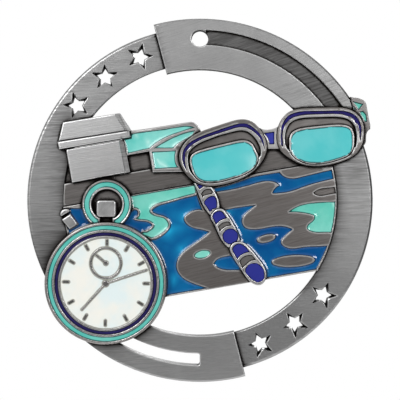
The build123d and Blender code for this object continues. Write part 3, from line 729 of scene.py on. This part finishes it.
class Effects:
    """The shader node groups that the finishes share, each built once.

    Attributes:
        streaks: The noise values where a scratch is darkest and brightest.
        patches: Those where a soft patch is.
        coarser: How many times longer and wider the second set of scratches is.
        ragged: How unevenly the antiquing and the painted corner shade end.
        core: The share of an edge line's reach where it is full.
        tail: How far past its ends a circle's shade fades, in reaches.
    """

    streaks = (0.34, 0.66)
    patches = (0.32, 0.68)
    coarser = 3.6
    ragged = 0.16
    core = 0.3
    tail = 1.5

    def __init__(self) -> None:
        """Builds every group."""
        self.brush = self._brush()
        self.antiquing_and_shade = self._antiquing_and_shade_group()
        self.cloud = self._cloud()
        self.disc_shade = self._disc_shade()
        self.edge_shade = self._edge_shade()
        self.edge_line = self._edge_line()

    def _brush(self) -> Tree:
        """Fine scratches that run one way across the face."""
        net, given, result = shader_group("brush_lines", "Streaks", "Height", Turn=0.0, Length=0.006, Width=0.00022)
        turned = net.add("ShaderNodeVectorRotate", {"Vector": given["Vector"], "Angle": given["Turn"]},
                         rotation_type="Y_AXIS")
        lines = []
        for grow, detail in ((1.0, 2.0), (self.coarser, 3.0)):
            along, across = (net.math("DIVIDE", 1.0, net.math("MULTIPLY", given[side], grow))
                             for side in ("Length", "Width"))
            scale = net.add("ShaderNodeCombineXYZ", {"X": along, "Y": along, "Z": across})
            spot = net.vector("MULTIPLY", turned.outputs[0], scale.outputs[0]).outputs[0]
            lines.append(net.noise(spot, 1.0, detail, 0.6).outputs[0])
        both = net.math("ADD", *(net.math("MULTIPLY", line, 0.5) for line in lines))
        net.feed(result, {"Streaks": net.spread(both, *self.streaks), "Height": lines[0]})
        return net.tree

    def _antiquing_and_shade_group(self) -> Tree:
        """Dark antiquing, and painted shade from ambient occlusion, in corners and along the feet of walls."""
        net, given, result = shader_group("antiquing_and_shade_in_corners", "Mask", Distance=0.0006, Open=0.96, Shut=0.66)
        shade = net.add("ShaderNodeAmbientOcclusion", {"Distance": given["Distance"]}, samples=12)
        wander = net.math("SUBTRACT", net.noise(given["Vector"], 900.0, 2.0).outputs[0], 0.5)
        moved = net.math("ADD", shade.outputs["AO"], net.math("MULTIPLY", wander, self.ragged))
        net.feed(result, {"Mask": net.spread(moved, given["Open"], given["Shut"])})
        return net.tree

    def _cloud(self) -> Tree:
        """Soft uneven patches."""
        net, given, result = shader_group("soft_patches", "Mask", Size=0.006)
        noise = net.noise(given["Vector"], net.math("DIVIDE", 1.0, given["Size"]), 3.0, 0.55)
        net.feed(result, {"Mask": net.spread(noise.outputs[0], *self.patches)})
        return net.tree

    def _edge_line(self) -> Tree:
        """A thin uneven line along the outline of a face."""
        net, given, result = shader_group("line_along_edges", "Mask", Away=1.0, Reach=0.2)
        wander = net.math("ADD", net.noise(given["Vector"], 700.0, 2.0).outputs[0], 0.5)
        reach = net.math("MULTIPLY", given["Reach"], wander)
        net.feed(result, {"Mask": net.spread(given["Away"], reach, net.math("MULTIPLY", reach, self.core))})
        return net.tree

    def _disc_shade(self) -> Tree:
        """A shade that fades with distance from a circle, outside or inside it."""
        net, given, result = shader_group(
            "shade_by_circle", "Mask", X=0.0, Z=0.0, Radius=0.01, Reach=0.002, Low=-1.0, High=1.0)
        parts = net.add("ShaderNodeSeparateXYZ", {0: given["Vector"]}).outputs
        far = net.hypot(*(net.math("SUBTRACT", parts[axis], given[axis]) for axis in "XZ"))
        gap = net.math("ABSOLUTE", net.math("SUBTRACT", far, given["Radius"]))
        soft = net.math("MULTIPLY", given["Reach"], self.tail)
        above = net.spread(parts["Z"], net.math("SUBTRACT", given["Low"], soft), given["Low"])
        under = net.spread(parts["Z"], net.math("ADD", given["High"], soft), given["High"])
        fade = net.fade(gap, given["Reach"])
        net.feed(result, {"Mask": net.math("MULTIPLY", fade, net.math("MULTIPLY", above, under))})
        return net.tree

    def _edge_shade(self) -> Tree:
        """A shade that fades away from a stretch of a straight line."""
        net, given, result = shader_group(
            "shade_by_line", "Mask", X=0.0, Z=0.0, Turn=0.0, Reach=0.002, Half=0.005)
        parts = net.add("ShaderNodeSeparateXYZ", {0: given["Vector"]}).outputs
        across, up = (net.math("SUBTRACT", parts[axis], given[axis]) for axis in "XZ")
        cosine, sine = (net.math(turning, given["Turn"]) for turning in ("COSINE", "SINE"))
        away = net.math("ADD", net.math("MULTIPLY", across, cosine), net.math("MULTIPLY", up, sine))
        along = net.math("SUBTRACT", net.math("MULTIPLY", up, cosine), net.math("MULTIPLY", across, sine))
        past = net.math("MAXIMUM", net.math("SUBTRACT", net.math("ABSOLUTE", along), given["Half"]), 0.0)
        net.feed(result, {"Mask": net.fade(net.hypot(away, past), given["Reach"])})
        return net.tree


# --- finishes


@dataclass(frozen=True)
class CircleShade:
    """A mask along a circle, all sizes in millimetres on the medal's face: painted shade on metal, a pale patch with
    painted highlight on enamel.
    """

    centre: Point
    radius: float
    reach: float
    depth: float
    low: float = -60.0
    high: float = 60.0

    def mask(self, net: Wiring, effects: Effects, spot: Socket) -> Socket:
        """Places the group and gives its mask."""
        (x, low), (_, high) = at(self.centre[0], self.low), at(0.0, self.high)
        sizes = {"X": x, "Z": at(*self.centre)[1], "Radius": self.radius, "Reach": self.reach, "Low": low, "High": high}
        placed = net.group(effects.disc_shade, spot, **{label: size * MM for label, size in sizes.items()})
        return net.math("MULTIPLY", placed["Mask"], self.depth)


@dataclass(frozen=True)
class LineShade:
    """A mask along a straight line, sizes in millimetres, the turn in degrees: painted shade on metal, a pale patch
    with painted highlight on enamel.
    """

    point: Point
    turn: float
    reach: float
    depth: float
    half: float = 5.0

    def mask(self, net: Wiring, effects: Effects, spot: Socket) -> Socket:
        """Places the group and gives its mask."""
        x, z = at(*self.point)
        placed = net.group(effects.edge_shade, spot, X=x * MM, Z=z * MM, Turn=math.radians(self.turn),
                           Reach=self.reach * MM, Half=self.half * MM)
        return net.math("MULTIPLY", placed["Mask"], self.depth)


def pale_spot(x: float, y: float, reach: float, depth: float) -> CircleShade:
    """Gives a soft pale spot with no radius of its own: partly thin enamel, partly a painted highlight."""
    return CircleShade((x, y), 0.0, reach, depth)


def screen(value: float) -> float:
    """Turns one channel as a screen shows it into a linear one."""
    return value / 12.92 if value <= 0.04045 else ((value + 0.055) / 1.055) ** 2.4


def grey(level: float, warmth: float = 0.0) -> Colour:
    """Gives a linear colour near grey.

    Args:
        level: Its brightness from 0 to 1 as a screen shows it.
        warmth: How far it leans to red, or to blue where negative.

    Returns:
        Linear red, green, blue and alpha.
    """
    return (*(screen(level + lean) for lean in (warmth, -abs(warmth) * 0.3, -warmth)), 1.0)


def rgb(code: int) -> Colour:
    """Turns a screen colour such as 0x66D1BD into a linear colour."""
    return (*(screen(((code >> shift) & 255) / 255.0) for shift in (16, 8, 0)), 1.0)


def start_material(name: str) -> tuple[Material, Wiring, Node]:
    """Gives a new material, its wiring and its shader."""
    made = bpy.data.materials.new(name)
    made.use_nodes = True
    return made, Wiring(made.node_tree), made.node_tree.nodes["Principled BSDF"]


def edge_mask(net: Wiring, effects: Effects, spot: Socket, reach: float) -> Socket:
    """Gives a mask that is a thin line along a face's outline, as far in as the reach in millimetres."""
    away = net.add("ShaderNodeAttribute", attribute_name=AWAY)
    return net.group(effects.edge_line, spot, Away=away.outputs["Fac"], Reach=reach)["Mask"]


@dataclass(frozen=True)
class CastMetal:
    """Plated, antiqued and brushed metal with painted shade in its hollows and a painted highlight on its edges, plain
    and evenly brushed at the back.

    Attributes:
        light: Its polished tone.
        dark: The tone between the scratches.
        antiquing_and_shade: The tone of the antiquing and of the painted shade in its corners.
        turn: The scratches' direction in degrees.
        contrast: How strongly the scratches show.
        rough: Its roughness.
        depth: How far in from a wall the antiquing and painted shade reach, in millimetres.
        length: The scratches' length in millimetres.
        width: The scratches' width in millimetres.
        edge_rub_highlight: How brightly its raised edges are rubbed and brightened as a painted highlight.
        low: A height where antiquing and painted shade on low ground start, one where they are full, and their
            strength.
        shades: Painted shade, with antiquing, beside raised parts.
        rub_highlight_tone: The tone of its rubbed edges and their painted highlight.
        rubbed: How far in the rubbed edges and their painted highlight reach, in millimetres.
        grimy_rough: The roughness of the antiquing.
        scrubbed: How much of the antiquing and painted shade the scratches rub off.
        bump: How strongly the scratches stand out.
        bump_height: How high they do, in millimetres.
        back: The tones of the plain back.
        behind: The heights where the plain back starts and is full, in millimetres.
    """

    light: Colour
    dark: Colour
    antiquing_and_shade: Colour = grey(0.10, 0.01)
    turn: float = 4.0
    contrast: float = 0.75
    rough: float = 0.38
    depth: float = 0.9
    length: float = 3.0
    width: float = 0.13
    edge_rub_highlight: float = 0.5
    low: tuple[float, float, float] | None = None
    shades: tuple[CircleShade | LineShade, ...] = ()
    rub_highlight_tone: Colour = grey(0.92)
    rubbed: float = 0.35
    grimy_rough: float = 0.7
    scrubbed: float = 0.25
    bump: float = 0.35
    bump_height: float = 0.03
    back: tuple[Colour, Colour] = (grey(0.56), grey(0.70))
    behind: Point = (0.5, 0.05)

    def material(self, name: str, effects: Effects) -> Material:
        """Builds the material.

        Args:
            name: The material's name.
            effects: The shared shader groups.

        Returns:
            The material.
        """
        made, net, shader = start_material(name)
        spot = net.add("ShaderNodeTexCoord").outputs["Object"]
        height = net.math("MULTIPLY", net.add("ShaderNodeSeparateXYZ", {0: spot}).outputs["Y"], -1.0 / MM)
        brush = net.group(effects.brush, spot, Turn=math.radians(self.turn), Length=self.length * MM,
                          Width=self.width * MM)
        cloud = net.group(effects.cloud, spot)["Mask"]
        streaks = net.math("ADD", net.math("MULTIPLY", brush["Streaks"], self.contrast),
                           net.math("MULTIPLY", cloud, 1.0 - self.contrast))
        tone = net.mix(streaks, self.dark, self.light)
        # Antiquing with painted shade in corners, on low ground and beside raised parts.
        antique_shade_mask = self._held_antiquing_and_shade(net, effects, spot, height, brush["Streaks"])
        # Rubbed edges, brightened further as a painted highlight.
        line = net.math("MULTIPLY", edge_mask(net, effects, spot, self.rubbed), self.edge_rub_highlight)
        front = net.mix(net.math("POWER", antique_shade_mask, 0.7), net.mix(line, tone, self.rub_highlight_tone), self.antiquing_and_shade)
        plain = net.group(effects.brush, spot, Length=4.0 * MM, Width=0.16 * MM)
        back = net.mix(plain["Streaks"], *self.back)
        behind = net.spread(height, *self.behind)
        rough = net.math("ADD", net.blend(antique_shade_mask, self.rough, self.grimy_rough),
                         net.math("MULTIPLY", brush["Streaks"], -0.08))
        relief = net.blend(behind, brush["Height"], plain["Height"])
        bump = net.add("ShaderNodeBump", {"Height": relief, "Strength": self.bump, "Distance": self.bump_height * MM})
        net.feed(shader, {"Base Color": net.mix(behind, front, back), "Metallic": 1.0, "Roughness": rough,
                          "Normal": bump.outputs[0]})
        return made

    def _held_antiquing_and_shade(self, net: Wiring, effects: Effects, spot: Socket, height: Socket, streaks: Socket) -> Socket:
        """Gives a mask of the antiquing and painted shade in corners, on low ground and in the painted shade spots.

        Args:
            net: The material's wiring.
            effects: The shared shader groups.
            spot: The Object coordinates.
            height: The height over the back in millimetres.
            streaks: The scratches, which rub some of it off.

        Returns:
            The mask.
        """
        # Painted shade from ambient occlusion, standing also for the antiquing in the corners.
        left = net.group(effects.antiquing_and_shade, spot, Distance=self.depth * MM)["Mask"]
        if self.low:
            left = net.math("MAXIMUM", left, net.spread(height, *self.low))
        for shade in self.shades:
            left = net.math("MAXIMUM", left, shade.mask(net, effects, spot))
        rubbed = net.math("MULTIPLY", net.math("MULTIPLY", streaks, self.scrubbed), net.math("SUBTRACT", 1.0, left))
        return net.math("SUBTRACT", left, rubbed, clamp=True)


@dataclass(frozen=True)
class Enamel:
    """Soft enamel: coloured, glossy and a little uneven, with painted shade along its walls and pale patches that hold
    painted highlights.

    Attributes:
        colour: Its colour where it is deep.
        tint: Its paler colour, where it is thin or streaked and in its painted highlights.
        shade: Its painted shade colour against a wall.
        lights: Pale patches, partly paler enamel and partly painted highlights, as masks with their own reach.
        thin: How much of the tint shows by itself.
        depth: How far in from a wall its painted corner shade reaches, in millimetres.
        line: How far in the painted dark line of shade along its outline reaches, in millimetres.
        swirl: How far its pale places are pulled about, in millimetres.
        corner: The openness where its painted corner shade starts and where it is full.
        ripple: How high its ripples are, in millimetres.
    """

    colour: Colour
    tint: Colour
    shade: Colour
    lights: tuple[CircleShade | LineShade, ...] = ()
    thin: float = 0.2
    depth: float = 0.5
    line: float = 0.26
    swirl: float = 8.0
    corner: Point = (0.85, 0.4)
    ripple: float = 0.08

    def material(self, name: str, effects: Effects) -> Material:
        """Builds the material.

        Args:
            name: The material's name.
            effects: The shared shader groups.

        Returns:
            The material.
        """
        made, net, shader = start_material(name)
        spot = net.add("ShaderNodeTexCoord").outputs["Object"]
        pale = net.math("MULTIPLY", net.group(effects.cloud, spot)["Mask"], self.thin)
        shift = net.vector("SUBTRACT", net.noise(spot, 160.0, 1.0).outputs["Color"], (0.5, 0.5, 0.5))
        push = net.vector("MULTIPLY", shift.outputs[0], (self.swirl * MM,) * 3)
        swirled = net.vector("ADD", spot, push.outputs[0]).outputs[0]
        # Pale patches: paler enamel and painted highlights.
        for light in self.lights:
            pale = net.math("MAXIMUM", pale, light.mask(net, effects, swirled))
        start, full = self.corner
        # Painted shade in the corners and a painted dark line of shade along the outline.
        corner = net.group(effects.antiquing_and_shade, spot, Distance=self.depth * MM, Open=start, Shut=full)["Mask"]
        edged = net.math("MAXIMUM", net.math("MULTIPLY", corner, 0.8), edge_mask(net, effects, spot, self.line))
        ripple = net.noise(spot, 420.0, 1.0).outputs[0]
        bump = net.add("ShaderNodeBump", {"Height": ripple, "Strength": 0.25, "Distance": self.ripple * MM})
        net.feed(shader, {
            "Base Color": net.mix(edged, net.mix(pale, self.colour, self.tint), self.shade),
            "Roughness": 0.14, "Specular IOR Level": 0.2, "Coat Weight": 0.5, "Coat Roughness": 0.04,
            "Normal": bump.outputs[0]})
        return made


# --- sub-assemblies


WATCH = (-18.1, -15.95)
# Painted shade, with antiquing, on the rim along the pool's raised edge.
POOL_SIDE = CircleShade((0.0, 0.0), 26.4, 1.6, 0.8, low=-17.0, high=13.5)
# The painted shade colours that enamels take against their walls.
DARK_GREEN, DARK_NAVY, DARK_INDIGO = rgb(0x0E4442), rgb(0x0A0820), rgb(0x0C0C30)


@dataclass
class Assembly:
    """A group of nodes that one class finishes."""

    effects: Effects

    def place(self, piece: Object, slot: str, node: str) -> None:
        """Gives a finished piece its place in the frame.

        Args:
            piece: The finished object.
            slot: The record's material slot; not used.
            node: The CAD node that it stands for.
        """
        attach(piece, ROOT)
        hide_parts(node)
        LOG.info("%s: %d faces for %s", piece.name, len(piece.data.polygons), node)

    def cast(self, slot: str, relief: Relief, finish: CastMetal | Enamel, *nodes: str) -> None:
        """Finishes CAD nodes on their own outlines.

        Args:
            slot: The record's material slot.
            relief: The shape of their edges and faces.
            finish: What they are finished with.
            nodes: The CAD nodes.
        """
        for node in nodes:
            piece = relief.of_node(node)
            piece.data.materials.append(finish.material(f"{node}_finish", self.effects))
            self.place(piece, slot, node)


@dataclass
class Rim(Assembly):
    """The rim with its cut-out stars, and the two raised bands."""

    relief: Relief = Relief(Rounding(0.22, 0.18))

    def build(self) -> None:
        """Finishes the rim and its bands."""
        # The shades are painted shade, with antiquing, beside the pool, the stopwatch, the blocks and the bands' ends;
        # the spots by the right goggle are painted shade alone.
        left = CastMetal(grey(0.72), grey(0.52), turn=2.0, contrast=0.8, edge_rub_highlight=0.25, shades=(
            POOL_SIDE, CircleShade(WATCH, 11.75, 3.2, 1.0), LineShade((-25.2, 8.0), 0.0, 2.4, 0.9, half=7.0),
            LineShade((-7.0, 29.9), 14.8, 1.2, 0.85)))
        right = CastMetal(grey(0.72), grey(0.58), turn=2.0, contrast=0.8, edge_rub_highlight=0.25, shades=(
            POOL_SIDE, CircleShade((30.5, 6.0), 0.0, 6.0, 0.45), LineShade((7.6, -29.0), 15.0, 1.0, 0.8)))
        top = CastMetal(grey(0.76), grey(0.59), turn=18.0, contrast=0.8, edge_rub_highlight=0.3, low=(2.9, 2.4, 0.72), shades=(
            CircleShade((26.5, 16.5), 0.0, 6.0, 0.5), LineShade((-7.6, 30.0), 14.8, 0.8, 0.4)))
        bottom = CastMetal(grey(0.78), grey(0.62), contrast=0.8, edge_rub_highlight=0.3, shades=(
            CircleShade(WATCH, 11.75, 2.2, 0.9),))
        self.cast("rim_metal", self.relief, left, "rim_left")
        self.cast("rim_metal", self.relief, right, "rim_right")
        self.cast("band_metal", self.relief, top, "top_band")
        self.cast("band_metal", self.relief, bottom, "bottom_band")


@dataclass
class Pool(Assembly):
    """The water, its metal islands, the deck and the low ground by the blocks."""

    metal_relief: Relief = Relief(Rounding(0.2, 0.16))
    enamel_relief: Relief = Relief(Meniscus(), grid=0.7)

    def build(self) -> None:
        """Finishes the pool."""
        metal = CastMetal(grey(0.52, 0.012), grey(0.38, 0.014), turn=14.0, contrast=0.85, rough=0.42, edge_rub_highlight=0.35)
        deck = CastMetal(grey(0.47, 0.01), grey(0.34, 0.01), turn=10.0, contrast=0.8, rough=0.45, edge_rub_highlight=0.3)
        # The pale spots are partly a paler second enamel, partly painted highlights.
        blue = Enamel(rgb(0x004B88), rgb(0x20B4E4), rgb(0x001C34), thin=0.15, lights=(
            pale_spot(-3.0, -2.8, 1.3, 0.75), pale_spot(-5.4, -5.4, 1.4, 0.8), pale_spot(-3.6, -9.8, 1.1, 0.6),
            pale_spot(4.6, -2.6, 0.8, 0.7), pale_spot(-4.5, -15.5, 1.2, 0.5)))
        turquoise = Enamel(rgb(0x5CC4B2), rgb(0xB5F0E4), DARK_GREEN, thin=0.3, lights=(
            pale_spot(-2.2, 2.3, 0.8, 0.9), pale_spot(-8.0, -0.6, 0.9, 0.6),
            LineShade((25.6, -1.5), 0.0, 0.35, 0.8, half=2.5)))
        self.cast("pool_metal", self.metal_relief, metal, "pool_corner", "pool_left", "pool_right")
        self.cast("deck_metal", self.metal_relief, deck,
                  "pool_deck_left", "pool_deck_right", "side_recess", "block_recess")
        self.cast("enamel_blue", self.enamel_relief, blue,
                  "water_right", "water_left", "water_top_strip", "water_inlet", "water_leaf", "water_corner")
        self.cast("enamel_turquoise", self.enamel_relief, turquoise,
                  "water_left_shallows", "water_right_shallows", "water_spot")


@dataclass
class StartingBlocks(Assembly):
    """The near block's plate, lip and pedestal, and the enamelled block behind."""

    relief: Relief = Relief(Rounding(0.28, 0.2))
    enamel_relief: Relief = Relief(Meniscus(), grid=0.7)

    def build(self) -> None:
        """Finishes both blocks."""
        # The two line shades are painted shade on the right facets, which catch the side lamp.
        bright = CastMetal(grey(0.90), grey(0.72), turn=9.0, contrast=0.85, rough=0.36, length=5.0, shades=(
            LineShade((-14.3, 8.5), 12.4, 0.3, 0.55, half=3.8), LineShade((-14.5, 14.4), 27.0, 0.4, 0.6, half=2.2)))
        frame_metal = CastMetal(grey(0.56, 0.01), grey(0.42, 0.01), turn=9.0, contrast=0.6)
        # Its pale spots are painted highlights on the enamel.
        turquoise = Enamel(rgb(0x55C7BD), rgb(0xC4F2EA), DARK_GREEN, thin=0.35, lights=(
            pale_spot(-9.0, 12.6, 1.3, 0.8), pale_spot(-13.0, 13.2, 1.0, 0.6), pale_spot(-4.2, 11.4, 0.9, 0.7),
            LineShade((-6.3, 7.0), 0.0, 0.3, 0.8, half=2.0)))
        self.cast("block_metal", self.relief, bright, "near_block_plate", "near_block_lip", "near_block_pedestal")
        self.cast("relief_metal", self.relief, frame_metal, "far_block_body")
        self.cast("enamel_turquoise", self.enamel_relief, turquoise,
                  *(f"far_block_{part}_enamel" for part in ("top", "wedge", "post")))


@dataclass
class LaneRope(Assembly):
    """Three floats on a rope, with their dark blue cells."""

    relief: Relief = Relief(Rounding(0.3, 0.22), Rounding(0.1, 0.05), 1.3)
    enamel_relief: Relief = Relief(Meniscus(0.06, 0.3), grid=0.5)

    def build(self) -> None:
        """Finishes the floats."""
        metal = CastMetal(grey(0.60, 0.01), grey(0.46, 0.01), turn=20.0, contrast=0.6, depth=0.35)
        indigo = Enamel(rgb(0x2A2F84), rgb(0x4248A8), DARK_INDIGO)
        for number in (1, 2, 3):
            self.cast("relief_metal", self.relief, metal, f"rope_float_{number}")
            self.cast("enamel_indigo", self.enamel_relief, indigo, f"rope_enamel_{number}")


@dataclass
class Goggles(Assembly):
    """Two eyepieces with dark bands and pale lenses, the bridge and the strap."""

    relief: Relief = Relief(Rounding(0.18, 0.14))
    enamel_relief: Relief = Relief(Meniscus(0.06, 0.25), grid=0.6)
    lens_relief: Relief = Relief(Meniscus(0.22, 1.1), grid=0.6)

    def build(self) -> None:
        """Finishes the goggles."""
        metal = CastMetal(grey(0.57, 0.012), grey(0.42, 0.012), turn=10.0, contrast=0.55, depth=0.6)
        strap = CastMetal(grey(0.52, 0.01), grey(0.40, 0.01), turn=10.0, contrast=0.6, edge_rub_highlight=0.1)
        navy = Enamel(rgb(0x231E5C), rgb(0x3A3AA0), DARK_NAVY)
        # The lens's pale spot is a painted reflection.
        aqua = Enamel(rgb(0x55C5C8), rgb(0xB4ECEC), rgb(0x1E5E60), thin=0.15, lights=(
            pale_spot(9.9, 5.8, 1.6, 0.9),))
        turquoise = Enamel(rgb(0x5CC4B2), rgb(0xC4F2EA), DARK_GREEN, thin=0.4)
        indigo = Enamel(rgb(0x262A80), rgb(0x5560D0), DARK_INDIGO, thin=0.3)
        for side in ("left", "right"):
            self.cast("relief_metal", self.relief, metal, f"{side}_goggle_frame")
            self.cast("enamel_navy", self.enamel_relief, navy, f"{side}_goggle_band")
            self.cast("enamel_aqua", self.lens_relief, aqua, f"{side}_goggle_lens")
        self.cast("relief_metal", self.relief, metal, "nose_bridge")
        self.cast("enamel_indigo", self.enamel_relief, indigo, "nose_bridge_enamel")
        self.cast("relief_metal", self.relief, strap, "goggle_strap")
        self.cast("enamel_turquoise", self.enamel_relief, turquoise, "goggle_strap_enamel")


@dataclass
class Stopwatch(Assembly):
    """The case with its coloured rings, dial and hands, the bow, crown and side button."""

    relief: Relief = Relief(Rounding(0.3, 0.24))
    enamel_relief: Relief = Relief(Meniscus(0.08, 0.3))
    dial_relief: Relief = Relief(Meniscus(0.05, 0.3), grid=1.0)
    mark_relief: Relief = Relief(Rounding(0.14, 0.1))
    dial_centre: Point = (WATCH[0] + 0.1, WATCH[1] + 0.15)

    def build(self) -> None:
        """Finishes the stopwatch."""
        metal = CastMetal(grey(0.70, 0.012), grey(0.52, 0.012), turn=30.0, contrast=0.5, rough=0.33, edge_rub_highlight=0.45)
        mark = CastMetal(grey(0.72, 0.006), grey(0.56, 0.006), turn=0.0, contrast=0.5, rough=0.3, edge_rub_highlight=0.0)
        crown = CastMetal(grey(0.90), grey(0.62), turn=60.0, contrast=0.4, rough=0.36, length=1.5, width=0.5)
        well = CastMetal(grey(0.60, 0.01), grey(0.40, 0.01), turn=10.0, contrast=0.6)
        turquoise = Enamel(rgb(0x55BAAE), rgb(0xA8E8DE), DARK_GREEN, thin=0.25)
        navy = Enamel(rgb(0x231E50), rgb(0x3A3A80), DARK_NAVY)
        white = Enamel(rgb(0xF0EFE7), rgb(0xDFEDEE), rgb(0x9A9A90), thin=0.9)
        self.cast("watch_metal", self.relief, metal, "stopwatch_case")
        self.cast("enamel_turquoise", self.enamel_relief, turquoise, "bezel_enamel")
        self.cast("enamel_navy", self.enamel_relief, navy, "track_enamel")
        self.cast("enamel_white", self.dial_relief, white, "dial_enamel", "subdial_enamel")
        finish = mark.material("dial_ticks_finish", self.effects)
        self.place(TickRing(self.dial_centre).build("dial_ticks_finished", finish), "mark_metal", "dial_ticks")
        self.cast("mark_metal", self.mark_relief, mark,
                  "subdial_ring", "subdial_hand", "long_hand", "short_hand", "hand_hub")
        self.cast("relief_metal", self.relief, well, "bow")
        self.cast("enamel_turquoise", self.enamel_relief, turquoise, "bow_enamel")
        self.cast("block_metal", self.relief, crown, "crown", "pusher_stem", "pusher_cap")


# --- studio


@dataclass
class Studio:
    """Camera, lights, backdrop and floor.

    Attributes:
        lens: The camera's focal length in millimetres.
        sensor: Its sensor's width in millimetres.
        shown: How much it shows of the medal's face, in millimetres.
        face: The height of that face over the back, in millimetres.
        look_at: What it looks at, on the face.
        floor_drop: How far the floor lies below the medal, in millimetres.
        floor_radius: The floor's radius in millimetres.
    """

    lens: float = 135.0
    sensor: float = 36.0
    shown: float = 77.0
    face: float = 3.0
    look_at: Point = (0.0, 0.06)
    floor_drop: float = 40.0
    floor_radius: float = 150.0

    def build(self) -> None:
        """Makes the studio around the medal."""
        scene = bpy.context.scene
        scene.view_settings.view_transform = "Standard"
        self._camera(scene)
        self._world(scene)
        self._floor()
        self._light("back", (90.0, 240.0, 140.0), 140.0, 140.0, 0.4)
        self._light("key", (-118.0, -235.0, 105.0), 110.0, 110.0, 0.27)
        self._light("side", (128.0, -268.0, 66.0), 32.0, 110.0, 0.22)

    def _camera(self, scene: bpy.types.Scene) -> None:
        """Looks straight at the medal's face."""
        data = bpy.data.cameras.new("camera")
        data.lens, data.sensor_width = self.lens, self.sensor
        data.clip_start, data.clip_end = 0.005, 10.0
        camera = bpy.data.objects.new("camera", data)
        away = self.shown * self.lens / self.sensor + self.face
        x, z = at(*self.look_at)
        camera.location = (x * MM, -away * MM, z * MM)
        camera.rotation_euler = (math.radians(90.0), 0.0, 0.0)
        scene.collection.objects.link(camera)
        scene.camera = camera

    def _world(self, scene: bpy.types.Scene) -> None:
        """A white surround for the camera and a soft graded one for reflections."""
        world = bpy.data.worlds.new("surround")
        world.use_nodes = True
        net = Wiring(world.node_tree)
        world.node_tree.nodes.clear()
        seen = net.add("ShaderNodeBackground", {"Color": (1.0, 1.0, 1.0, 1.0), "Strength": 1.0})
        way = net.add("ShaderNodeTexCoord").outputs["Generated"]
        lean = net.vector("DOT_PRODUCT", way, Vector((-0.5, -0.35, 0.8)).normalized())
        graded = net.mix(net.spread(lean.outputs["Value"], -0.5, 1.0), grey(0.42), grey(0.97))
        front = net.vector("DOT_PRODUCT", way, (0.0, -1.0, 0.0))
        card = net.math("MULTIPLY", net.spread(front.outputs["Value"], 0.9, 0.975), 0.85)
        graded = net.mix(card, graded, grey(0.25))
        felt = net.add("ShaderNodeBackground", {"Color": graded, "Strength": 0.85})
        chosen = net.add("ShaderNodeMixShader", {0: net.add("ShaderNodeLightPath").outputs["Is Camera Ray"],
                                                 1: felt.outputs[0], 2: seen.outputs[0]})
        net.add("ShaderNodeOutputWorld", {"Surface": chosen.outputs[0]})
        scene.world = world

    def _floor(self) -> None:
        """A plain pale floor under the hanging medal."""
        mesh = bmesh.new()
        bmesh.ops.create_circle(mesh, cap_ends=True, segments=96, radius=self.floor_radius * MM)
        low = CAD_BOX[0].z - self.floor_drop * MM
        bmesh.ops.translate(mesh, verts=mesh.verts, vec=(0.0, 0.0, low))
        data = bpy.data.meshes.new("floor")
        mesh.to_mesh(data)
        mesh.free()
        floor = bpy.data.objects.new("floor", data)
        bpy.context.scene.collection.objects.link(floor)
        paint, net, shader = start_material("floor_paint")
        net.feed(shader, {"Base Color": grey(0.93), "Roughness": 0.8})
        data.materials.append(paint)

    def _light(self, name: str, place: tuple[float, float, float], wide: float, tall: float, power: float) -> None:
        """A soft light aimed at the medal's middle.

        Args:
            name: The light's name.
            place: Its offset from the rim's centre in millimetres.
            wide: Its width in millimetres.
            tall: Its height in millimetres.
            power: Its power in watts.
        """
        data = bpy.data.lights.new(name, "AREA")
        data.shape = "RECTANGLE"
        data.size, data.size_y, data.energy = wide * MM, tall * MM, power
        light = bpy.data.objects.new(name, data)
        light.visible_camera = False
        x, z = at(0.0, 0.0)
        middle = Vector((x, 0.0, z)) * MM
        light.location = middle + Vector(place) * MM
        light.rotation_euler = (middle - light.location).to_track_quat("-Z", "Y").to_euler()
        bpy.context.scene.collection.objects.link(light)


def main() -> None:
    """Builds the studio and every sub-assembly."""
    Studio().build()
    effects = Effects()
    for assembly in (Rim, Pool, StartingBlocks, LaneRope, Goggles, Stopwatch):
        LOG.info("%s", assembly.__name__)
        assembly(effects).build()
    bpy.context.view_layer.update()


if __name__ == "__main__":
    main()
